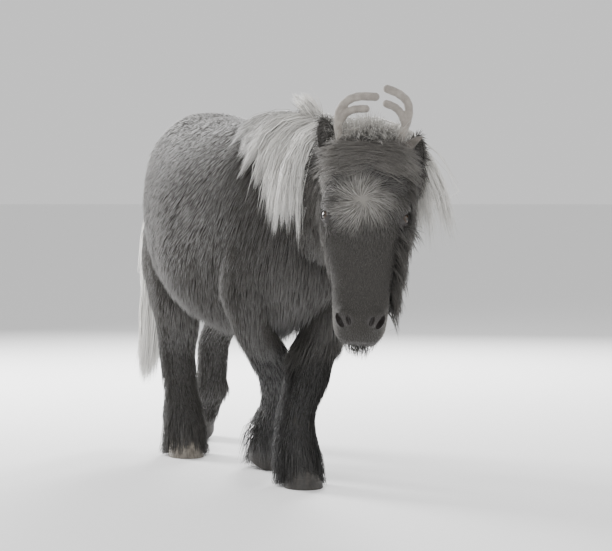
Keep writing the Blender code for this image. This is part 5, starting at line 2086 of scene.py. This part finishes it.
@dataclass
class HeadHair:
    """Forelock, brow fringe, poll tuft, and the longer hair of temples, jaws, chin and throat."""

    head: HeadSpace
    patches: tuple[Patch, ...] = (
        Patch("forelock_left", (0.028, 0.000, 0.030), (0.046, 0.044, 0.034), 1500, 0.085,
              (0.90, 0.10, 0.50), 9.0, 0.10, 0.10, 0.0018, 0.75),
        Patch("forelock_right", (-0.026, 0.000, 0.034), (0.046, 0.044, 0.036), 1500, 0.080,
              (-0.95, 0.10, 0.40), 9.0, 0.10, 0.10, 0.0018, 0.75),
        Patch("forelock_streak", (0.044, 0.005, 0.022), (0.010, 0.020, 0.010), 60, 0.125,
              (0.62, 0.05, 0.95), 12.0, 0.10, 0.26, 0.0015),
        Patch("brow_fringe", (-0.088, 0.040, 0.085), (0.018, 0.040, 0.034), 300, 0.036,
              (-0.55, 0.10, 0.75), 26.0, 0.20, 0.50, 0.0012, 0.0, 0.25),
        Patch("poll_tuft", (0.004, 0.088, 0.006), (0.060, 0.040, 0.030), 1000, 0.084,
              (0.0, -0.60, -0.9), 56.0, 0.75, 0.85, 0.0014, 0.1, 0.85),
        Patch("poll_over", (0.006, 0.060, 0.000), (0.056, 0.030, 0.026), 900, 0.075,
              (0.0, -0.90, -0.55), 58.0, 1.3, 0.75, 0.0014, -0.2, 0.40),
        Patch("temple_left", (0.108, 0.070, 0.130), (0.030, 0.060, 0.060), 1300, 0.060,
              (0.65, 0.15, 0.90), 30.0, 0.35, 0.02, 0.0020, 0.0, 0.10),
        Patch("jaw_left", (0.092, 0.100, 0.215), (0.040, 0.055, 0.075), 1500, 0.095,
              (0.75, 0.10, 1.0), 32.0, 0.7, 0.02, 0.0022, 0.0, 0.10),
        Patch("jaw_left_low", (0.074, 0.105, 0.300), (0.036, 0.045, 0.066), 1100, 0.104,
              (0.95, 0.12, 0.9), 40.0, 0.9, 0.02, 0.0022, -0.1, 0.10),
        Patch("jaw_right", (-0.092, 0.135, 0.190), (0.042, 0.060, 0.095), 1500, 0.080,
              (-0.20, 0.40, 1.0), 20.0, 0.8, 0.04, 0.0022, 0.1),
        Patch("chin", (0.0, 0.112, 0.480), (0.036, 0.040, 0.036), 420, 0.052,
              (0.0, 0.35, 1.0), 35.0, 0.9, 0.02, 0.0013, -0.2),
        Patch("throat", (0.0, 0.180, 0.330), (0.060, 0.060, 0.090), 900, 0.080,
              (0.0, 0.30, 1.0), 35.0, 1.0, 0.05, 0.0024),
    )
    rings: int = 4

    def build(self, ground: Ground, markings: Markings) -> list[Object]:
        """Grows the longer hair of the head.

        Args:
            ground: the skin.
            markings: the coat's colours.

        Returns:
            The pieces.
        """
        made = []
        rng = np.random.default_rng(97)
        face = self.head.local(ground.middles)
        for patch in self.patches:
            gap = (((face - np.array(patch.middle)) / np.array(patch.radii)) ** 2).sum(axis=1)
            density = np.exp(-gap) * (gap < 3.0)
            count = patch.strands * 1.0
            density *= count / max((density * ground.areas).sum(), 1e-9)
            roots = ground.scatter(density, 200 + len(made))
            made.append(self.tufts(patch, roots, ground, markings, rng).build("hair_" + patch.name))
        HairFinish("head_hair", root=(0.036, 0.033, 0.030), tip=(0.076, 0.070, 0.063)).dress(*made)
        return made

    def tufts(
        self, patch: Patch, roots: Roots, ground: Ground, markings: Markings, rng: np.random.Generator
    ) -> Tufts:
        """Shapes the hair of one patch.

        Args:
            patch: what grows there.
            roots: where it grows.
            ground: the skin.
            markings: the coat's colours.
            rng: the source of chance.

        Returns:
            The tufts.
        """
        count = len(roots)
        way = self.head.world(np.array([patch.way]))[0]
        ways = way[None] + rng.normal(0, 0.12 + patch.spread, (count, 3))
        if patch.lift < 50:
            ways -= roots.normals * (ways * roots.normals).sum(axis=1, keepdims=True)
        ways = unit(ways)
        lengths = patch.length * rng.uniform(0.55, 1.1, count)
        lifts = np.radians(patch.lift) * rng.uniform(0.6, 1.3, count)
        spines = bent_spines(roots, ways, lengths, lifts, patch.droop, self.rings)
        spines = ground.lift_clear(gathered(spines, 12, 0.5, rng), 0.002)
        free = ground.off_eyes(spines)
        spines, roots = spines[free], roots.where(free)
        wide = patch.width * rng.uniform(0.6, 1.3, len(roots))
        chart = Unwrap.FACE.lay(self.head.local(roots.points))
        tone = patch.tone + 0.5 * markings.shade(roots.points) + rng.normal(0, 0.3, len(roots))
        return Tufts(spines, roots.normals, wide, wide * 0.5, tone, np.full(len(roots), patch.pale), chart)


# Eyes.


@dataclass
class Eyes:
    """Dark brown eyes with a level oval pupil under a clear bulge."""

    skin: Skin
    pupil: tuple[float, float] = (0.0062, 0.0042)
    iris: float = 0.0112

    def build(self) -> list[Object]:
        """Makes both eyes in their sockets.

        Returns:
            The two meshes.
        """
        made = []
        for side in Side:
            middle, turn = self.skin.eye_frame(side)
            bm = bmesh.new()
            bmesh.ops.create_uvsphere(bm, u_segments=64, v_segments=40, radius=self.skin.eye_radius - 0.0003)
            for vert in bm.verts:
                across = math.hypot(vert.co.x, vert.co.y)
                if vert.co.z > 0:
                    vert.co.z += 0.0011 * math.exp(-((across / 0.0105) ** 4))
            layers = {key: bm.verts.layers.float.new(key) for key in ("pupil", "iris")}
            for vert in bm.verts:
                x, y = vert.co.x, vert.co.y
                front = 1.0 if vert.co.z > 0 else 0.0
                from_pupil = math.hypot(x / self.pupil[0], y / self.pupil[1])
                vert[layers["pupil"]] = front * max(0.0, 1.6 - from_pupil)
                vert[layers["iris"]] = front * max(0.0, 1.6 - math.hypot(x, y) / self.iris)
            bmesh.ops.transform(bm, matrix=Matrix.Translation(middle) @ turn, verts=bm.verts)
            obj = shown("eyeball_" + side.label, bm)
            obj.data.polygons.foreach_set("use_smooth", np.ones(len(obj.data.polygons), bool))
            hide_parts("eye_" + side.label)
            made.append(obj)
        self.dress(made)
        return made

    def dress(self, made: list[Object]) -> None:
        """Gives the eyes iris, pupil and a wet gloss.

        Args:
            made: the two meshes.
        """
        graph = Graph("wet_eye")
        streaks = graph.noise(900.0, 3.0)
        iris = graph.mix(streaks, (0.020, 0.011, 0.006), (0.055, 0.030, 0.015))
        ball_colour = graph.mix(graph.attribute("iris").step(0.5, 0.75), (0.050, 0.042, 0.036), iris)
        colour = graph.mix(graph.attribute("pupil").step(0.5, 0.75), ball_colour, (0.003, 0.003, 0.004))
        graph.dress(*made, Base_Color=colour, Roughness=0.12, Coat_Weight=0.25, Coat_Roughness=0.06)


# Headband and antlers.


@dataclass(frozen=True)
class PlushFinish:
    """Soft felted pile, mottled and fuzzy."""

    name: str
    colour: Colour
    fleck: Colour
    pile: float = 900.0

    def dress(self, *objects: Object) -> None:
        """Gives the plush its mottle and its pile.

        Args:
            objects: the pieces of plush.
        """
        graph = Graph(self.name)
        mottle = graph.noise(55.0, 4.0)
        pile = graph.noise(self.pile, 3.0)
        colour = graph.mix(mottle.step(0.35, 0.75), self.colour, self.fleck)
        colour = graph.shade(colour, pile * 0.5 + 0.75)
        normal = graph.bump(pile + mottle * 0.6, 0.55, 0.0012)
        graph.dress(
            *objects, Base_Color=colour, Roughness=0.95, Sheen_Weight=0.5, Sheen_Roughness=0.5, Normal=normal,
        )


@dataclass
class Headdress:
    """The costume headband: a soft strip over the poll, two stuffed antlers and two felt leaves."""

    head: HeadSpace
    band_v: float = 0.050
    band_centre_s: float = 0.075
    band_reach: float = 62.0
    band_width: float = 0.020
    band_thickness: float = 0.006
    thickness: float = 0.0215
    antlers: dict[Side, dict[str, tuple[Point, ...]]] = field(default_factory=lambda: {
        Side.RIGHT: {
            "beam": ((-0.070, 0.050, 0.012), (-0.078, 0.050, -0.030), (-0.076, 0.047, -0.062),
                     (-0.058, 0.042, -0.088), (-0.030, 0.038, -0.100), (0.010, 0.036, -0.101)),
            "tine": ((-0.077, 0.049, -0.030), (-0.062, 0.045, -0.056), (-0.040, 0.042, -0.068),
                     (-0.012, 0.040, -0.071)),
        },
        Side.LEFT: {
            "beam": ((0.070, 0.050, 0.012), (0.086, 0.050, -0.030), (0.094, 0.047, -0.066),
                     (0.088, 0.042, -0.094), (0.066, 0.038, -0.112), (0.038, 0.036, -0.122)),
            "tine": ((0.088, 0.049, -0.034), (0.076, 0.045, -0.062), (0.060, 0.042, -0.078),
                     (0.038, 0.040, -0.086)),
        },
    })
    band_section: tuple[tuple[float, float], ...] = (
        (-0.5, -0.46), (-0.5, 0.46), (0.55, 0.5), (0.95, 0.42), (1.1, 0.2), (1.15, 0.0), (1.1, -0.2),
        (0.95, -0.42), (0.55, -0.5),
    )
    leaf_section: tuple[tuple[float, float], ...] = (
        (1, 0), (0.6, 1), (0, 1), (-0.6, 1), (-1, 0), (-0.6, -1), (0, -1), (0.6, -1),
    )
    leaves: dict[Side, tuple[Point, ...]] = field(default_factory=lambda: {
        Side.LEFT: ((0.086, 0.040, 0.030), (0.100, 0.037, 0.013), (0.118, 0.034, -0.002),
                    (0.132, 0.032, -0.008)),
        Side.RIGHT: ((-0.060, 0.040, 0.012), (-0.050, 0.036, -0.006), (-0.036, 0.034, -0.018),
                     (-0.024, 0.033, -0.022)),
    })

    def band(self, skin: Object) -> Object:
        """The strip over the poll.

        Args:
            skin: the pony's skin.

        Returns:
            The mesh.
        """
        tree = surface_tree(skin)
        middle = self.head.point(0.0, self.band_v, self.band_centre_s)
        up, across, back = (self.head.turn() @ Vector(w) for w in ((0, 0, 1), (1, 0, 0), (0, 1, 0)))
        rings = []
        for i in range(49):
            angle = math.radians(self.band_reach) * (i / 24 - 1)
            way = up * math.cos(angle) + across * math.sin(angle)
            ring = []
            for depth, width in self.band_section:
                start = middle + back * width * self.band_width
                hit = tree.ray_cast(start + way * 0.3, -way)[0]
                ring.append(hit + way * (depth * self.band_thickness))
            rings.append(ring)
        obj = loft("soft_headband", rings)
        smooth = obj.modifiers.new("smooth", "SMOOTH")
        smooth.iterations = 3
        apply_modifiers(obj)
        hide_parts("headband")
        return obj

    def antler(self, side: Side) -> Object:
        """One stuffed antler, with its beam and its tine sewn into one.

        Args:
            side: which one.

        Returns:
            The mesh.
        """
        parts = []
        for key, share in (("beam", 1.0), ("tine", 0.92)):
            points = [self.head.point(*p) for p in self.antlers[side][key]]
            rows = smooth_rows([tuple(p) for p in points], 6)
            radius = self.thickness / 2 * share
            parts.append(self.tube([Vector(r) for r in rows], radius))
        obj = fused(joined(parts, "plush_antler_" + side.label), 0.0013, 8)
        obj.data.polygons.foreach_set("use_smooth", np.ones(len(obj.data.polygons), bool))
        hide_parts("antler_" + side.label)
        return obj

    @staticmethod
    def tube(spine: list[Vector], radius: float) -> Object:
        """A stuffed tube with a round end.

        Args:
            spine: its middle line.
            radius: its radius.

        Returns:
            The closed tube.
        """
        end = (spine[-1] - spine[-2]).normalized()
        stops = [(p, 1.0) for p in spine]
        stops += [(spine[-1] + end * radius * math.sin(a), math.cos(a)) for a in (0.4, 0.8, 1.15, 1.4)]
        side = (spine[1] - spine[0]).orthogonal().normalized()
        rings = []
        for i, (point, size) in enumerate(stops):
            low, high = stops[max(i - 1, 0)][0], stops[min(i + 1, len(stops) - 1)][0]
            along = (high - low).normalized()
            side = (side - along * side.dot(along)).normalized()
            up = along.cross(side)
            swell = size * (1.0 + 0.04 * math.sin(i * 1.7))
            rings.append([point + (side * c + up * s) * radius * swell for c, s in oval(20)])
        return loft("tube", rings)

    def leaf(self, side: Side) -> Object:
        """A small pointed felt leaf beside an antler.

        Args:
            side: which one.

        Returns:
            The mesh.
        """
        facing = self.head.turn() @ Vector((0.0, -1.0, 0.1))
        points = [self.head.point(*p) for p in self.leaves[side]]
        rows = smooth_rows([(*p, w) for p, w in zip(points, (0.7, 1.0, 0.62, 0.06))], 6)
        rings = []
        for i, row in enumerate(rows):
            place = Vector(row[:3])
            along = Vector(rows[min(i + 1, len(rows) - 1)][:3]) - Vector(rows[max(i - 1, 0)][:3])
            along.normalize()
            across = along.cross(facing).normalized() * 0.012 * row[3]
            cup = facing * (-0.004 * row[3])
            rise = facing * 0.0014
            rings.append([place + across * x + cup * x * x + rise * k for x, k in self.leaf_section])
        obj = loft("felt_leaf_" + side.label, rings)
        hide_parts("felt_ear_" + side.label)
        return obj

    def build(self, skin: Object) -> list[Object]:
        """Makes and dresses the headdress.

        Args:
            skin: the skin that it sits on.

        Returns:
            Its pieces.
        """
        band = self.band(skin)
        horns = [self.antler(side) for side in Side]
        leaves = [self.leaf(side) for side in Side]
        PlushFinish("band_plush", (0.045, 0.041, 0.038), (0.085, 0.078, 0.070)).dress(band)
        PlushFinish("antler_plush", (0.26, 0.235, 0.21), (0.36, 0.33, 0.295)).dress(*horns)
        PlushFinish("leaf_felt", (0.10, 0.09, 0.08), (0.20, 0.18, 0.16)).dress(leaves[0])
        PlushFinish("pale_felt", (0.34, 0.32, 0.29), (0.50, 0.47, 0.43)).dress(leaves[1])
        return [band, *horns, *leaves]


# Hooves.


@dataclass
class Hooves:
    """Four unshod hooves with growth rings, worn at the toe."""

    height: float = 0.058
    sole: tuple[float, float] = (0.052, 0.061)
    top: tuple[float, float] = (0.043, 0.048)
    slope: float = 0.016

    def hoof(self, name: str) -> Object:
        """One hoof wall, with the rings of its growth.

        Args:
            name: which leg's.

        Returns:
            The mesh.
        """
        (x, y, z), tilt = HOOF_PLACES[name]
        turn = Matrix.Rotation(math.radians(tilt), 4, "X")
        rings = []
        for i in range(25):
            share = i / 24
            worn = 1.0 - 0.05 * math.exp(-share * 40)
            ring_wave = 0.0007 * math.sin(share * 44) * math.sin(share * math.pi)
            wide = (self.sole[0] + (self.top[0] - self.sole[0]) * share) * worn + ring_wave
            deep = (self.sole[1] + (self.top[1] - self.sole[1]) * share) * worn + ring_wave
            lean = -self.slope * (1 - share)
            down = -self.height * (1 - share)
            rings.append([Vector((x, y, z)) + turn @ Vector((a * wide, b * deep + lean, down))
                          for a, b in oval(48, 1.05)])
        obj = loft("horn_hoof_" + name, rings)
        bm = bmesh.new()
        bm.from_mesh(obj.data)
        whole = [*bm.verts, *bm.edges, *bm.faces]
        bmesh.ops.bisect_plane(bm, geom=whole, plane_co=(0, 0, 0), plane_no=(0, 0, 1), clear_inner=True)
        bmesh.ops.holes_fill(bm, edges=bm.edges)
        bmesh.ops.recalc_face_normals(bm, faces=bm.faces)
        bm.to_mesh(obj.data)
        bm.free()
        obj.data.polygons.foreach_set("use_smooth", np.ones(len(obj.data.polygons), bool))
        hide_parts("hoof_" + name)
        return obj

    def build(self) -> list[Object]:
        """Makes and dresses the hooves.

        Returns:
            The four meshes.
        """
        made = {name: self.hoof(name) for name in HOOF_PLACES}
        pale = made.pop("hind_right")
        self.dress("dark_horn", (0.020, 0.018, 0.016), (0.042, 0.037, 0.032), list(made.values()))
        self.dress("pale_horn", (0.10, 0.088, 0.072), (0.20, 0.178, 0.148), [pale])
        return [*made.values(), pale]

    @staticmethod
    def dress(name: str, dark: Colour, light: Colour, made: list[Object]) -> None:
        """Gives horn its streaks and rings.

        Args:
            name: the material's name.
            dark: the darker colour.
            light: the lighter colour.
            made: the hooves that wear it.
        """
        graph = Graph(name)
        streaks = graph.noise(120.0, 4.0, (1.0, 1.0, 0.08))
        rings = graph.noise(90.0, 2.0, (0.1, 0.1, 1.6))
        colour = graph.mix(streaks.step(0.35, 0.7), dark, light)
        normal = graph.bump(streaks * 0.5 + rings, 0.25, 0.0008)
        graph.dress(*made, Base_Color=colour, Roughness=0.42 + rings * 0.25, Normal=normal)


# Floor, light and camera.


@dataclass
class Studio:
    """A plain pale floor, soft light with a rim from behind, and the camera."""

    shift: Vector
    camera_place: Point = (-1.75, -5.06, 0.76)
    azimuth: float = 19.8
    pitch: float = 2.2955
    lens: float = 118.1

    def floor(self) -> None:
        """Lays the floor."""
        bm = bmesh.new()
        bmesh.ops.create_circle(bm, cap_ends=True, segments=96, radius=160.0)
        obj = shown("floor", bm)
        obj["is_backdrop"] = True
        graph = Graph("pale_floor")
        grain = graph.noise(40.0, 2.0)
        graph.dress(obj, Base_Color=graph.mix(grain, (0.84, 0.84, 0.84), (0.87, 0.87, 0.87)), Roughness=0.95)

    def light(self, name: str, place: Point, size: float, power: float) -> None:
        """Hangs one square soft light that faces the pony.

        Args:
            name: the light's name.
            place: where it hangs.
            size: its edge.
            power: its watts.
        """
        data = bpy.data.lights.new(name, "AREA")
        data.size = size
        data.energy = power
        lamp = bpy.data.objects.new(name, data)
        lamp.location = place
        lamp.rotation_mode = "QUATERNION"
        lamp.rotation_quaternion = (Vector((0, 0, 0.6)) - Vector(place)).to_track_quat("-Z", "Y")
        bpy.context.scene.collection.objects.link(lamp)

    def camera(self) -> None:
        """Sets up the camera at the picture's viewpoint."""
        turn, down = math.radians(self.azimuth), math.radians(self.pitch)
        look = Vector((math.sin(turn) * math.cos(down), math.cos(turn) * math.cos(down), -math.sin(down)))
        data = bpy.data.cameras.new("camera")
        data.lens = self.lens
        data.sensor_width = 36.0
        camera = bpy.data.objects.new("camera", data)
        camera.location = Vector(self.camera_place) + self.shift
        camera.rotation_mode = "QUATERNION"
        camera.rotation_quaternion = look.to_track_quat("-Z", "Y")
        bpy.context.scene.collection.objects.link(camera)
        bpy.context.scene.camera = camera

    def build(self) -> None:
        """Makes floor, lights, sky and camera."""
        self.floor()
        self.light("key", (-2.4, -3.2, 3.0), 3.0, 66.0)
        self.light("fill", (3.4, -2.6, 2.0), 3.0, 25.0)
        self.light("rim_left", (2.0, 3.6, 2.7), 1.6, 380.0)
        self.light("rim_right", (-2.1, 3.8, 2.0), 1.6, 440.0)
        world = bpy.data.worlds.new("studio")
        world.use_nodes = True
        sky = world.node_tree.nodes["Background"]
        sky.inputs["Color"].default_value = (0.86, 0.86, 0.86, 1.0)
        sky.inputs["Strength"].default_value = 1.0
        bpy.context.scene.world = world
        self.camera()


# Putting it together.


def set_numbers(obj: Object, name: str, values: Array) -> None:
    """Stores one number for each of the object's points."""
    obj.data.attributes.new(name, "FLOAT", "POINT").data.foreach_set("value", values.astype(np.float32))


def frame_shift(skin: Skin) -> Vector:
    """How far the frame's origin lies from the pony's own, read from the place of an eye."""
    low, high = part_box("eye_left")
    return (Vector(low) + Vector(high)) / 2 - skin.eye_frame(Side.LEFT)[0]


def settle(pieces: Iterable[Object], shift: Vector) -> None:
    """Moves finished pieces to the frame's origin and lets them ride on the one body.

    Args:
        pieces: the objects.
        shift: how far they move.
    """
    for obj in pieces:
        obj.data.transform(Matrix.Translation(shift))
        obj.data.update()
        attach(obj, "root")


def main() -> None:
    """Builds the pony on its frame and stages it."""
    logging.basicConfig(level=logging.INFO, format="%(message)s")
    for obj in list(bpy.data.objects):
        bpy.data.objects.remove(obj)
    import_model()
    head = HeadSpace()
    shape = Skin(head)
    shift = frame_shift(shape)
    LOG.info("frame shift %s", tuple(round(v, 4) for v in shift))
    Limits.measure(shift)
    skin = shape.build()
    markings = Markings(head)
    points, _ = mesh_arrays(skin)
    set_numbers(skin, "pale", markings.pale(points))
    set_numbers(skin, "bare", markings.bare(points, shape))
    SkinFinish().dress(skin)
    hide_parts(*FLESH_NODES)
    LOG.info("skin: %d triangles", sum(len(f.vertices) - 2 for f in skin.data.polygons))
    ground = Ground(skin, shape)
    eyes = Eyes(shape).build()
    hooves = Hooves().build()
    headdress = Headdress(head).build(skin)
    coat = Coat(head, Lie(head), markings).build(ground)
    head_hair = HeadHair(head).build(ground, markings)
    mane = Mane().build(ground)
    tail = Tail().build(ground)
    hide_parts("tail")
    settle([skin, *coat, *head_hair], shift)
    settle([*mane, *tail], shift)
    settle([*eyes, *hooves, *headdress], shift)
    Studio(shift).build()


if __name__ == "__main__":
    main()
